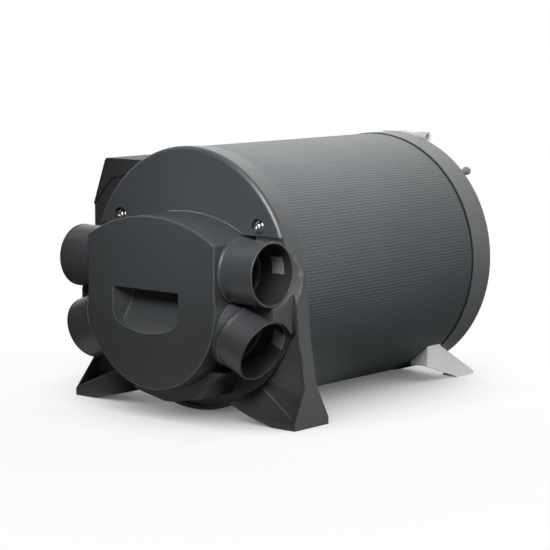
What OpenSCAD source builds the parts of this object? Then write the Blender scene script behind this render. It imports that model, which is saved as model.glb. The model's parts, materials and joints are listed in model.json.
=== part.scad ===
// Combined warm-air and water heater for a caravan: a ribbed drum lying on its side between a footed
// front cover with four warm-air outlets and a rear cover with the air intake.
// Millimetres. X runs across the drum, +Y from the outlet end to the rear, +Z up.
// Origin: midway between the two front foot holes, on the floor, below the drum axis.

/* [Drum] */
// Outside diameter of the ribbed drum
drum_d = 293; // [286:0.5:300]
// Length of the drum between the two covers
drum_len = 308.8; // [300:0.2:340]
// Wall of the drum casing
drum_wall = 3; // [2:0.5:4]
// Height of the drum's underside above the floor
floor_gap = 2; // [2:0.5:10]

/* [Front cover] */
// Depth of the front cover from its face to the drum
cover_depth = 32; // [30:0.5:36]
// Wall of the front cover
cover_wall = 3.5; // [2.5:0.5:4.5]
// How far the cover's front edge flares out past the drum
cover_flare = 2; // [1:0.25:2.25]
// Radius of the cover's rounded front edge
cover_edge_r = 6; // [4:0.5:7]
// Height of the ledge above the drum axis
ledge_rise = 55.5; // [53:0.5:58]
// Set-back of the lower panel behind the cover's face
panel_setback = 16; // [15.5:0.5:18]
// Set-back of the lower rim's front edge behind the cover's face
lip_setback = 12; // [8:0.5:13]
// Distance of each cover screw from the drum's middle plane
cover_screw_x = 103; // [99:0.5:106]
// Height of the cover screws above the drum axis
cover_screw_rise = 65.5; // [63:0.5:70]
// Diameter of the pocket round each cover screw
screw_pocket_d = 18; // [16:0.5:19]

/* [Front feet] */
// Distance of each foot's outer face from the drum's middle plane
foot_reach = 166; // [160:0.5:175]
// Width of each foot pad
foot_w = 32; // [28:0.5:36]
// Thickness of each foot pad
foot_t = 8; // [6:0.5:10]
// How far the foot pads reach ahead of the cover's face
foot_ahead = 12; // [9:0.5:16]
// How far the foot pads reach behind the cover's face
foot_behind = 45; // [40:0.5:50]
// Distance of each foot hole from the drum's middle plane
foot_hole_x = 150; // [147.5:0.5:154]
// Diameter of the screw holes in all feet
foot_hole_d = 6.5; // [5:0.1:7]

/* [Air manifold] */
// Depth of the manifold ahead of the cover's face
manifold_depth = 61; // [58:0.5:66]
// Half of the manifold's width
manifold_half_w = 95; // [93:0.5:98]
// Wall of the manifold
manifold_wall = 3; // [2.5:0.5:4]
// Drop of the centre of the manifold's round lower end below the drum axis
manifold_drop = 20.5; // [18:0.5:23]
// Rise of the manifold's crown above the drum axis
crown_rise = 75.5; // [72:0.5:78]
// Radius of the manifold's crown
crown_r = 184; // [175:1:200]
// Thickness of the manifold gasket
gasket_t = 2; // [1.5:0.25:3]
// Width of the finger grip
grip_w = 99; // [85:1:105]
// Height of the finger grip
grip_h = 49; // [44:0.5:54]
// Depth of the finger grip below its top edge
grip_depth = 23; // [18:0.5:25]
// Drop of the grip's top edge below the drum axis
grip_drop = 5.5; // [2:0.5:9]
// Radius of the grip's lower corners
grip_corner_r = 16; // [12:0.5:20]
// How far each side of the grip slopes in over its depth
grip_draft = 10; // [6:0.5:12]
// Sideways offset of the grip's middle
grip_shift = -6.5; // [-8:0.5:0]

/* [Duct sockets] */
// Bore of the duct sockets, for 65 mm ducts
duct_bore_d = 66; // [64:0.1:67]
// Wall of the duct sockets
duct_wall = 2; // [1.5:0.1:2.3]
// Distance of the duct axes ahead of the cover's face
duct_ahead = 22; // [21.5:0.25:24]
// Height of the upper ducts above the drum axis
upper_duct_rise = 19; // [19:0.25:20]
// Length of the upper sockets
upper_duct_len = 48; // [44:0.5:52]
// Gap between an upper socket and the collar of the lower one
duct_gap = 0.45; // [0.35:0.05:1.5]
// Length of the lower sockets
lower_duct_len = 37; // [34:0.5:42]
// Downward tilt of the lower sockets, degrees
lower_duct_tilt = 22.5; // [20:0.5:25]

/* [Rear cover] */
// Length of the rear ring
ring_len = 35; // [34:0.5:40]
// Wall of the rear ring and plate
ring_wall = 3; // [2:0.5:4]
// Width of the dark gap between drum and rear ring
seal_gap = 2; // [1.5:0.25:3]
// Width of the rear plate round the air intake
intake_rim = 43.5; // [41.5:0.5:45.5]
// Diameter of the cap over the combustion motor
cap_d = 112; // [104:1:118]
// Length of the cap over the combustion motor
cap_len = 68; // [64:1:76]

/* [Rear brackets] */
// Distance of each bracket's side plate inside the drum's edge
bracket_inset = 44.5; // [42.5:0.5:48.5]
// Sheet thickness of the brackets
bracket_t = 2.5; // [2:0.25:3]
// Width of the bracket's foot flange
bracket_flange_w = 22; // [20:0.5:26]

/* [Water tank] */
// Space for the insulation between drum and tank
insulation_t = 9.5; // [8.5:0.25:11.5]
// Diameter of the tank's middle opening
tank_bore_d = 152; // [146:1:158]
// Wall of the tank
tank_wall = 1.2; // [1:0.1:1.6]
// Diameter of the tank's water stubs
stub_d = 14; // [12:0.5:15]
// Diameter of the threaded ends of the water unions
union_thread_d = 13; // [12:0.1:14]

/* [Burner] */
// Outside diameter of the heat exchanger's core
core_d = 92; // [86:1:96]
// Wall of the heat exchanger's core
core_wall = 3; // [2:0.5:4]
// Number of fins round the core
fin_count = 24; // [16:1:30]
// Thickness of the fins
fin_t = 1.6; // [1.2:0.1:2.2]
// Outside diameter of the burner tube
burner_d = 68; // [60:1:70]
// Space behind the tank for header, fan housing and pipes
rear_bay = 80; // [79:0.5:84]
// Diameter of the flue pipe and of the air pipe
pipe_d = 24; // [20:0.5:25]
// Outside diameter of the flue spigot
flue_spigot_d = 55; // [50:0.5:60]
// Outside diameter of the combustion-air spigot
air_spigot_d = 65; // [60:0.5:68]
// Distance of the spigots' open ends from the drum's middle plane
spigot_reach = 285; // [278:0.5:292]

/* [Fans] */
// Diameter of the circulation impeller
impeller_d = 104; // [96:1:106]
// Width of the circulation impeller
impeller_w = 33; // [28:0.5:34]
// Number of blades of the circulation impeller
blade_count = 24; // [16:1:30]
// Diameter of the circulation motor
motor_d = 72; // [66:1:76]
// Diameter of the circulation fan's shaft
shaft_d = 8; // [6:0.5:10]
// Diameter of the combustion impeller
burner_fan_d = 80; // [72:1:84]
// Diameter of the combustion motor
burner_motor_d = 56; // [50:1:60]
// Diameter of the combustion fan's shaft
burner_shaft_d = 6; // [5:0.5:8]

/* [Electronics housing] */
// Distance of the housing's front wall behind the cover's face
box_front = 120; // [110:1:124]
// Distance between the housing and the flue housing behind it
box_tail = 16.1; // [14:0.1:24]
// Distance of the housing's outer wall from the drum's middle plane
box_reach = 265; // [258:0.5:272]
// Rise of the lid's flat top above the drum axis
lid_rise = 117.5; // [114:0.5:120]
// Rise of the parting line's outer end above the drum axis
parting_rise = 60.5; // [56:0.5:64]
// Drop of the housing's floor below the drum axis
box_drop = 58.5; // [54:0.5:62]
// Wall of the housing and its lid
box_wall = 2.5; // [2:0.25:3]
// Diameter of the reset button
button_d = 10; // [8:0.5:14]
// Travel of the reset button
button_travel = 2; // [1:0.25:3]

/* [Clearances] */
// Gap between pieces that are seated on each other
seat_gap = 0.3; // [0.2:0.05:0.5]
// Radial running clearance of shafts and of the button
running_gap = 0.05; // [0.02:0.01:0.1]
// Radial clearance of screws in their holes
screw_gap = 0.3; // [0.2:0.05:0.5]

/* [Hidden] */
$fn = 96;
past = 1;
skin = 0.1;

// Levels and radii of the drum and its covers
drum_r = drum_d / 2;
drum_ri = drum_r - drum_wall;
axis_z = drum_r + floor_gap;
rim_r = drum_r + 0.5;
ring_r = drum_r + 1;
cover_r = drum_r + cover_flare;
spigot_ro = drum_ri - seat_gap;
spigot_ri = spigot_ro - 3;
spigot_len = 10;
ledge_z = axis_z + ledge_rise;

// Stations along the drum
drum_y0 = cover_depth + seat_gap;
drum_y1 = drum_y0 + drum_len;
ring_y0 = drum_y1 + seal_gap;
rear_y = ring_y0 + ring_len;
panel_back_y = panel_setback + cover_wall;
bulkhead_y = cover_depth + spigot_len + 1;
bulkhead_t = 2;
tank_y0 = bulkhead_y + bulkhead_t + seat_gap;
tank_y1 = rear_y - rear_bay;

// Manifold and duct frames
manifold_z = axis_z - manifold_drop;
manifold_r = manifold_half_w + 0.5;
crown_z = axis_z + crown_rise;
grip_top = axis_z - grip_drop;
grip_wall = 2.5;
duct_r = duct_bore_d / 2;
duct_ro = duct_r + duct_wall;
collar_r = duct_ro + 1.5;
collar_t = 3;
stop_r = duct_r - 3;
plug_r = duct_r - 0.5;
plug_len = 5;
duct_y = -duct_ahead;
upper_duct_z = axis_z + upper_duct_rise;
lower_duct_z = upper_duct_z - duct_ro - duct_gap - collar_r * cos(lower_duct_tilt);
lower_duct_x = manifold_half_w + 1;

// Cover screws
screw_z = axis_z + cover_screw_rise;
screw_r = 2.5;
screw_head_r = 4.6;
washer_r = 6.4;
pocket_depth = 5;

// Front leg outline, from the hip on the rim down to the foot
hip_z = axis_z * 0.62;
hip_x = rim_r + 4.5;
knee_z = axis_z * 0.29;
knee_x = foot_reach - 6;
leg_root_x = 66;
leg_root_z = axis_z - sqrt(pow(rim_r, 2) - pow(leg_root_x, 2));
foot_in = foot_reach - foot_w;
chin_ahead = 32;
chin_drop = 17;

// Circulation fan
shaft_r = shaft_d / 2;
impeller_r = impeller_d / 2;
impeller_y1 = 3;
impeller_y0 = impeller_y1 - impeller_w;
hub_r = shaft_r + 6;
motor_r = motor_d / 2;
motor_y0 = panel_back_y + 6.5;
motor_len = 44;
inlet_r = impeller_r + 2;
cup_wall = 3;
cup_ri = motor_r + seat_gap;

// Tank
tank_r = drum_ri - insulation_t;
tank_ri = tank_bore_d / 2;
stub_r = stub_d / 2;
stub_x = -6;
stub_off = tank_r - stub_r - 3.4;
stub_len = 22;

// Burner, header and combustion fan
core_r = core_d / 2;
core_ri = core_r - core_wall;
core_y0 = motor_y0 + motor_len + 12;
burner_r = burner_d / 2;
burner_wall = 1.5;
electrode_r = 3;
electrode_len = 60;
burner_back = 40;
electrode_x = burner_r - burner_wall - electrode_r - seat_gap;
pipe_r = pipe_d / 2;
header_y1 = tank_y1 + 2 * pipe_r + 5;
fan_house_y0 = header_y1 + seat_gap;
fan_house_y1 = rear_y - ring_wall - 3;
fan_house_r = core_r + 4;
fan_house_wall = 2.5;
flue_y = tank_y1 + pipe_r + 2;
flue_z = axis_z + 23.5;
air_y = fan_house_y1 - pipe_r - 1;
air_z = axis_z - 23.5;
burner_shaft_r = burner_shaft_d / 2;
burner_fan_r = burner_fan_d / 2;
burner_fan_y0 = fan_house_y0 + 12;
burner_fan_w = 20;
burner_motor_r = burner_motor_d / 2;
burner_motor_len = cap_len - 28;

// Rear intake grille and cap
intake_r = ring_r - intake_rim;
grille_t = 3;
grille_r = intake_r + 7;
grille_y1 = rear_y + grille_t;
cap_r = cap_d / 2;
cap_y0 = grille_y1 + seat_gap;
cap_wall = 2.5;
cap_y1 = rear_y + grille_t + cap_len;
grille_hub_r = cap_r + 4;
grille_ring_w = 4;
grille_rings = 4;
grille_screw_r = 1.6;
grille_screw_pitch_r = intake_r + 3.5;

// Rear brackets
bracket_x = drum_r - bracket_inset;
bracket_y0 = drum_y1 - 31;
bracket_screw_y = bracket_y0 + 15;
bracket_tab_x = bracket_x - 22;
bracket_screw_x = bracket_x - 11;
bracket_hole_y = drum_y1 + 48;
tab_r = drum_r + seat_gap;

// Flue housing on the far side of the drum
flue_box_x0 = -(spigot_reach - 45);
flue_box_x1 = -(ring_r + 0.8);
flue_box_y0 = flue_y - pipe_r - 6;
flue_box_y1 = rear_y;
flue_box_wall = 2.5;
flue_box_mid_y = (flue_box_y0 + flue_box_y1) / 2;
spigot_edge = 8.5;
flue_spigot_z = axis_z + flue_spigot_d / 2 + 13.5;
air_spigot_z = axis_z - air_spigot_d / 2 - 3;
flue_box_top = flue_spigot_z + flue_spigot_d / 2 + spigot_edge;
flue_box_floor = air_spigot_z - air_spigot_d / 2 - spigot_edge;

// Electronics housing
box_x = -box_reach;
box_y1 = flue_box_y0 - box_tail;
box_floor = axis_z - box_drop;
box_drum_r = drum_r + 0.7;
parting_z = axis_z + parting_rise;
lid_top = axis_z + lid_rise;
lid_lip = 1;
lid_top_x = box_x + 20;
parting_a = [box_x + 29, parting_z + 32];
parting_b = [box_x + 67, parting_z + 42];
box_in_x = -drum_r * 0.62;
board_z = box_floor + box_wall + 12;
board_t = 1.6;
board_x0 = box_x + box_wall + 8;
board_x1 = -(drum_r + 14);
board_y0 = box_front + box_wall + 8;
board_y1 = box_y1 - box_wall - 8;
terminal_edge = 11;
terminal_space = 10;
terminal_w = 16;
terminal_h = 18;
button_r = button_d / 2;
button_y = box_front + 30;
button_z = axis_z + 5;
button_proud = 3.5;
gland_r = 9;
gland_bore_r = 4;
gland_len = 14;

// Water unions, gas train and hose peg on the rear plate
union_w = 20;
union_depth = 21;
union_x1 = stub_x + union_w / 2;
union_end_x = 42;
union_y = rear_y + 14;
union_thread_len = 12;
union_thread_r = union_thread_d / 2;
sleeve_wall = 1.8;
sleeve_r = stub_r + 0.15 + sleeve_wall;
sleeve_y0 = tank_y1 + 6;
hot_z = axis_z + stub_off;
cold_z = axis_z - stub_off;
hot_outlet_z = axis_z + ring_r - 6;
cold_outlet_z = axis_z - grille_r - union_thread_r - 1;
gas_off = (ring_r - 13.15) / sqrt(2);
gas_pipe_r = 4;
gas_w = 30;
gas_depth = 30;
gas_y = fan_house_y0 + 10;
peg_x = ring_r * 0.6888;
peg_z = axis_z + sqrt(pow(ring_r - 3, 2) - pow(peg_x, 2));

// Shapes that repeat

// Round bar along +Y
module rod_y(r, y0, y1, x = 0, z = axis_z) {
    translate([x, y0, z]) rotate([-90, 0, 0]) cylinder(r = r, h = y1 - y0);
}

// Round bar along +X
module rod_x(r, x0, x1, y, z) {
    translate([x0, y, z]) rotate([0, 90, 0]) cylinder(r = r, h = x1 - x0);
}

// Tube along +Y
module tube_y(ro, ri, y0, y1, x = 0, z = axis_z) {
    difference() {
        rod_y(ro, y0, y1, x, z);
        rod_y(ri, y0 - past, y1 + past, x, z);
    }
}

// Cone along +Y on the drum axis
module cone_y(r0, r1, y0, y1) {
    translate([0, y0, axis_z]) rotate([-90, 0, 0]) cylinder(r1 = r0, r2 = r1, h = y1 - y0);
}

// Outline drawn in X and Z, made a slab between two Y stations
module slab(y0, y1) {
    translate([0, y1, 0]) rotate([90, 0, 0]) linear_extrude(y1 - y0) children();
}

// Outline drawn in Y and Z, made a slab between two X stations
module side_slab(x0, x1) {
    translate([x0, 0, 0]) rotate([90, 0, 90]) linear_extrude(x1 - x0) children();
}

// Box between two corners
module block(low, high) {
    translate(low) cube(high - low);
}

// Half plane in X and Z, above or below a height
module above(z) { translate([-400, z]) square([800, 400]); }
module below(z) { translate([-400, z - 400]) square([800, 400]); }

// Copies turned round the drum axis
module round_axis(count, start = 0) {
    for (i = [0 : count - 1])
        translate([0, 0, axis_z]) rotate([0, start + i * 360 / count, 0]) children();
}

// Both sides of the middle plane
module both_sides() {
    children();
    mirror([1, 0, 0]) children();
}

// Frames at the bases of the duct sockets, +Z pointing out of the mouth
module upper_duct_frame(side) {
    translate([side * manifold_half_w, duct_y, upper_duct_z]) rotate([0, side * 90, 0]) children();
}
module lower_duct_frame(side) {
    translate([side * lower_duct_x, duct_y, lower_duct_z])
        rotate([0, side * (90 + lower_duct_tilt), 0]) children();
}

// Front cover

function flare_r(y) = cover_r + (rim_r - cover_r) * y / cover_depth;

// Round rim with its softly rounded front edge
module cover_rim() {
    edge = flare_r(cover_edge_r);
    inner = rim_r - cover_wall;
    translate([0, 0, axis_z]) rotate([-90, 0, 0]) rotate_extrude() polygon(concat(
        [[edge - cover_edge_r - 3, 0]],
        [for (a = [0 : 15 : 90]) [edge - cover_edge_r * (1 - sin(a)), cover_edge_r * (1 - cos(a))]],
        [[rim_r, cover_depth], [inner, cover_depth], [inner, cover_edge_r], [edge - cover_edge_r - 3, cover_edge_r]]
    ));
}

module cover_shell() {
    difference() {
        cover_rim();
        slab(-past, lip_setback) below(ledge_z);
    }
    // Face above the ledge, the ledge itself and the set-back panel below it
    slab(0, cover_wall) intersection() {
        translate([0, axis_z]) circle(cover_r - cover_edge_r - past);
        above(ledge_z);
    }
    slab(0, cover_edge_r + past) intersection() {
        translate([0, axis_z]) circle(cover_r - cover_edge_r - past);
        translate([-rim_r, ledge_z]) square([2 * rim_r, cover_wall]);
    }
    slab(cover_edge_r, panel_back_y) intersection() {
        translate([0, axis_z]) circle(rim_r - 2 * past);
        translate([-rim_r, ledge_z]) square([2 * rim_r, cover_wall]);
    }
    slab(panel_setback, panel_back_y) intersection() {
        translate([0, axis_z]) circle(rim_r - past);
        below(ledge_z + past);
    }
    // Spigot that centres the drum
    tube_y(spigot_ro, spigot_ri, cover_depth - 4, cover_depth + spigot_len);
    tube_y(rim_r - past, spigot_ri, cover_depth - 4, cover_depth);
}

// One front leg: side wall, pad and the sloping front that runs down to the pad's front edge
module front_leg() {
    slope_top = axis_z * 0.28;
    slab(panel_setback, panel_back_y) polygon([
        [leg_root_x, leg_root_z], [foot_in, 0], [foot_reach, 0], [foot_reach, foot_t],
        [knee_x, knee_z], [hip_x, hip_z], [rim_r - past, axis_z], [rim_r * 0.7, axis_z]
    ]);
    intersection() {
        slab(-foot_ahead, foot_behind) polygon([
            [foot_reach, 0], [foot_reach, foot_t], [knee_x, knee_z], [hip_x, hip_z], [rim_r, axis_z],
            [rim_r - cover_wall, axis_z], [hip_x - cover_wall, hip_z],
            [knee_x - cover_wall, knee_z], [foot_reach - cover_wall, foot_t], [foot_reach - cover_wall, 0]
        ]);
        side_slab(foot_in, foot_reach + past) polygon([
            [lip_setback, axis_z], [lip_setback, knee_z], [-foot_ahead, foot_t], [-foot_ahead, 0],
            [foot_behind, 0], [foot_behind, foot_t], [cover_depth, knee_z], [cover_depth, axis_z]
        ]);
    }
    block([foot_in, -foot_ahead, 0], [foot_reach, foot_behind, foot_t]);
    intersection() {
        slab(-foot_ahead, panel_setback + past) polygon([
            [leg_root_x, leg_root_z], [foot_in, 0], [foot_reach - past, 0], [foot_reach - past, foot_t],
            [foot_reach - 6, foot_t + 5], [foot_reach * 0.63, slope_top]
        ]);
        side_slab(leg_root_x - past, foot_reach) polygon([
            [lip_setback, slope_top], [-foot_ahead, foot_t], [-foot_ahead, 0],
            [panel_back_y, 0], [panel_back_y, slope_top + past], [lip_setback, slope_top + past]
        ]);
    }
}

// Angular apron under the manifold
module chin() {
    low_z = manifold_z - manifold_r - chin_drop;
    slab(-chin_ahead, panel_back_y) difference() {
        polygon([
            [-84, manifold_z - 72], [-60, manifold_z - 86], [-50, manifold_z - 104], [-6, low_z],
            [6, low_z], [50, manifold_z - 104], [60, manifold_z - 86], [84, manifold_z - 72]
        ]);
        translate([0, manifold_z]) circle(manifold_r + seat_gap);
    }
}

// Shoulder that wraps the back of the upper socket and fills the corner down to the lower one
module duct_shoulder() {
    x0 = manifold_half_w + collar_t + 1;
    mid_z = axis_z - 4;
    shelf_z = ledge_z + past;
    block([x0, duct_y, axis_z - 48], [manifold_half_w + upper_duct_len + 1, panel_back_y, mid_z]);
    intersection() {
        side_slab(x0, rim_r) polygon([
            [2, shelf_z], [panel_back_y, shelf_z], [panel_back_y, mid_z - past], [7, mid_z - past]
        ]);
        cone_y(cover_r - skin, rim_r - skin, 0, cover_depth);
    }
}

// Room for the two sockets of one side
module duct_room() {
    upper_duct_frame(1) {
        cylinder(r = duct_ro + 0.6, h = upper_duct_len + 20);
        // Dish that leads the band down to the mouth
        translate([0, 0, upper_duct_len - 0.5]) cylinder(r1 = duct_ro + 0.6, r2 = duct_ro + 24.6, h = 10);
    }
    lower_duct_frame(1) {
        cylinder(r = duct_ro + 0.6, h = foot_reach);
        translate([0, 0, -30]) cylinder(r = collar_r + 0.6, h = 30 + collar_t + 0.6);
    }
}

module cover_screw_places() {
    for (side = [-1, 1]) translate([side * cover_screw_x, 0, screw_z]) rotate([-90, 0, 0]) children();
}

module front_cover() {
    color("#3a3d40") difference() {
        union() {
            cover_shell();
            both_sides() {
                front_leg();
                duct_shoulder();
            }
            chin();
            intersection() {
                cover_screw_places() cylinder(d = screw_pocket_d + 3, h = pocket_depth + cover_wall);
                slab(-past, panel_back_y) above(ledge_z + past);
            }
        }
        cover_screw_places() {
            translate([0, 0, -past]) cylinder(d = screw_pocket_d, h = pocket_depth + past);
            cylinder(r = screw_r + screw_gap, h = pocket_depth + 2 * cover_wall);
        }
        both_sides() duct_room();
        rod_y(inlet_r, panel_setback - past, panel_back_y + past);
        for (side = [-1, 1])
            translate([side * foot_hole_x, 0, -past]) cylinder(d = foot_hole_d, h = foot_t + 2 * past);
    }
}

module cover_screws() {
    color("#c9ccce") cover_screw_places() {
        translate([0, 0, pocket_depth - 1.5]) cylinder(r = washer_r, h = 1.5);
        translate([0, 0, pocket_depth - 6]) cylinder(r = screw_head_r, h = 5);
        cylinder(r = screw_r, h = bulkhead_y + bulkhead_t);
    }
}

// Air manifold

module manifold_outline(inset = 0) {
    intersection() {
        union() {
            translate([0, manifold_z]) circle(manifold_r - inset);
            translate([inset - manifold_half_w, manifold_z])
                square([2 * (manifold_half_w - inset), manifold_r]);
        }
        translate([0, crown_z - crown_r]) circle(crown_r - inset);
    }
}

// Solid inside the manifold's outline, deeper below the ledge than above it
module manifold_solid(inset, front, beyond) {
    slab(front, beyond - gasket_t) manifold_outline(inset);
    slab(front, panel_setback + beyond - gasket_t) intersection() {
        manifold_outline(inset);
        below(ledge_z - gasket_t);
    }
}

// Right half of the finger grip's outline: straight side, rounded corner, then half of the wide foot arc
function grip_half(grow) =
    let (half = grip_w / 2,
         centre_z = grip_top - grip_h + grip_w,
         corner_x = half - grip_corner_r,
         corner_fall = sqrt(pow(grip_w - grip_corner_r, 2) - pow(corner_x, 2)),
         turn = atan2(corner_fall, corner_x))
    concat(
        [[half + grow, grip_top + grow]],
        [for (i = [0 : 5]) [corner_x, centre_z - corner_fall]
            + (grip_corner_r + grow) * [cos(turn * i / 5), -sin(turn * i / 5)]],
        [for (i = [1 : 5]) let (a = turn + (90 - turn) * i / 5)
            [(grip_w + grow) * cos(a), centre_z - (grip_w + grow) * sin(a)]]
    );

module grip_outline(grow = 0) {
    right = grip_half(grow);
    left = [for (i = [len(right) - 2 : -1 : 0]) [-right[i][0], right[i][1]]];
    translate([grip_shift, 0]) polygon(concat(right, left));
}

// Scooped hollow of the finger grip: deep under its top edge, running out at its foot, with sloping sides
module grip_scoop(grow = 0) {
    centre = (pow(grip_h, 2) - pow(grip_depth, 2)) / (2 * grip_depth);
    half = grip_w / 2 + grow;
    ahead = -manifold_depth - past;
    behind = grip_depth + grow + past - manifold_depth;
    draft = grip_draft / grip_depth;
    intersection() {
        slab(ahead, behind) grip_outline(grow);
        rod_x(centre + grip_depth + grow, -manifold_half_w, manifold_half_w,
              -manifold_depth - centre, grip_top);
        translate([grip_shift, 0, grip_top - 2 * grip_h]) linear_extrude(3 * grip_h) polygon([
            [-half - draft * past, ahead], [half + draft * past, ahead],
            [half - draft * (behind + manifold_depth), behind], [-half + draft * (behind + manifold_depth), behind]
        ]);
    }
}

module air_manifold() {
    color("#3d4042") difference() {
        union() {
            difference() {
                manifold_solid(0, -manifold_depth, 0);
                manifold_solid(manifold_wall, manifold_wall - manifold_depth, past);
            }
            intersection() {
                grip_scoop(grip_wall);
                slab(-manifold_depth, 0) manifold_outline(past);
            }
            // Flange along the crown
            slab(-gasket_t - 1.6, -gasket_t) difference() {
                intersection() {
                    manifold_outline(-1.5);
                    above(ledge_z + 0.5);
                }
                manifold_outline(manifold_wall);
            }
            // Seats for the tilted lower sockets
            intersection() {
                difference() {
                    for (side = [-1, 1])
                        lower_duct_frame(side) translate([0, 0, -40]) cylinder(r = collar_r, h = 40);
                    slab(-manifold_depth - past, panel_setback + past) manifold_outline(manifold_wall);
                }
                slab(-manifold_depth, panel_setback - gasket_t) above(0);
            }
        }
        grip_scoop();
        for (side = [-1, 1]) {
            upper_duct_frame(side) {
                translate([0, 0, -12]) cylinder(r = plug_r + seat_gap, h = 14);
                cylinder(r = collar_r + seat_gap, h = upper_duct_len);
            }
            lower_duct_frame(side) translate([0, 0, -40]) cylinder(r = plug_r + seat_gap, h = 42);
        }
    }
}

module manifold_gasket() {
    color("#1d1e1f") {
        slab(skin - gasket_t, -skin) intersection() {
            gasket_ring();
            above(ledge_z - gasket_t + skin);
        }
        slab(skin - gasket_t, panel_setback - skin) intersection() {
            gasket_ring();
            above(ledge_z - gasket_t + skin);
            below(ledge_z - skin);
        }
        slab(panel_setback - gasket_t + skin, panel_setback - skin) intersection() {
            gasket_ring();
            below(ledge_z - skin);
        }
    }
}

module gasket_ring() {
    difference() {
        manifold_outline(0.4);
        manifold_outline(manifold_wall - 0.4);
    }
}

// Duct socket with its seat plug, collar and inner stop
module duct_socket(len) {
    color("#3f4244") translate([0, 0, seat_gap]) difference() {
        union() {
            cylinder(r = duct_ro, h = len);
            cylinder(r = collar_r, h = collar_t);
            translate([0, 0, -plug_len]) cylinder(r = plug_r, h = plug_len + past);
        }
        translate([0, 0, collar_t]) cylinder(r = duct_r, h = len);
        translate([0, 0, -plug_len - past]) cylinder(r = stop_r, h = plug_len + collar_t + 2 * past);
    }
}

module duct_socket_upper_right() { upper_duct_frame(1) duct_socket(upper_duct_len); }
module duct_socket_upper_left() { upper_duct_frame(-1) duct_socket(upper_duct_len); }
module duct_socket_lower_right() { lower_duct_frame(1) duct_socket(lower_duct_len); }
module duct_socket_lower_left() { lower_duct_frame(-1) duct_socket(lower_duct_len); }

// Drum and rear cover

module drum_casing() {
    color("#3c4446") difference() {
        tube_y(drum_r, drum_ri, drum_y0, drum_y1);
        rod_x(pipe_r + 0.6, -drum_r - past, -drum_r / 2, flue_y, flue_z);
        bracket_screw_places() cylinder(r = 2 + screw_gap, h = 12, center = true);
    }
}

module rear_seal() {
    color("#101112") tube_y(drum_r - 1, drum_ri + 0.1, drum_y1 + 0.1, ring_y0 - 0.1);
}

module rear_cover() {
    color("#606366") difference() {
        union() {
            tube_y(ring_r, ring_r - ring_wall, ring_y0, rear_y);
            tube_y(ring_r, intake_r, rear_y - ring_wall, rear_y);
            tube_y(spigot_ro, spigot_ri, ring_y0 - spigot_len - seal_gap, ring_y0 + 3);
            tube_y(ring_r - past, spigot_ri, ring_y0, ring_y0 + 3);
        }
        rod_x(pipe_r + 0.6, -ring_r - past, -ring_r / 2, air_y, air_z);
        for (z = [hot_z, cold_z]) rod_y(sleeve_r + 0.4, ring_y0, rear_y + past, stub_x, z);
        rod_y(gas_pipe_r + 0.5, ring_y0, rear_y + past, -gas_off, axis_z - gas_off);
        round_axis(4, 45) translate([grille_screw_pitch_r, rear_y - ring_wall - past, 0])
            rotate([-90, 0, 0]) cylinder(r = grille_screw_r + 0.15, h = ring_wall + 2 * past);
        translate([peg_x, rear_y - ring_wall - past, peg_z]) rotate([-90, 0, 0])
            cylinder(r = 2.5, h = ring_wall + 2 * past);
    }
}

module intake_grille() {
    pitch = (intake_r - grille_hub_r) / (grille_rings + 1);
    color("#2b2d2f") difference() {
        union() {
            tube_y(grille_r, intake_r - 2, rear_y, grille_y1);
            rod_y(grille_hub_r, rear_y, grille_y1);
            for (i = [1 : grille_rings]) {
                r = grille_hub_r + i * pitch;
                tube_y(r + grille_ring_w / 2, r - grille_ring_w / 2, rear_y, grille_y1);
            }
            round_axis(8) block([grille_hub_r - 2, rear_y, -2], [intake_r, grille_y1, 2]);
        }
        rod_y(burner_shaft_r + 3, rear_y - past, grille_y1 + past);
        round_axis(4, 45) translate([grille_screw_pitch_r, rear_y - past, 0])
            rotate([-90, 0, 0]) cylinder(r = grille_screw_r + 0.15, h = grille_t + 2 * past);
    }
}

module grille_screws() {
    color("#b8bbbd") round_axis(4, 45) translate([grille_screw_pitch_r, 0, 0]) rotate([-90, 0, 0]) {
        translate([0, 0, rear_y - ring_wall]) cylinder(r = grille_screw_r, h = ring_wall + grille_t + past);
        translate([0, 0, grille_y1]) cylinder(r = 3.2, h = 2);
    }
}

module motor_cap() {
    cone_len = 12;
    color("#2f3234") difference() {
        union() {
            rod_y(cap_r, cap_y0, cap_y1 - cone_len);
            cone_y(cap_r, cap_r - cone_len, cap_y1 - cone_len, cap_y1);
        }
        rod_y(cap_r - cap_wall, cap_y0 - past, cap_y1 - cone_len - 0.5);
        cone_y(cap_r - cap_wall, cap_r - cap_wall - cone_len + 2, cap_y1 - cone_len - 0.5, cap_y1 - cap_wall);
    }
}

// Rear brackets

function under_drum(x, r) = axis_z - sqrt(pow(r, 2) - pow(x, 2));

// Frames of the bracket screws, +Z pointing at the drum axis
module bracket_screw_places() {
    for (side = [-1, 1])
        translate([side * bracket_screw_x, bracket_screw_y, under_drum(bracket_screw_x, drum_r)])
            rotate([0, side * -asin(bracket_screw_x / drum_r), 0]) children();
}

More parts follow.
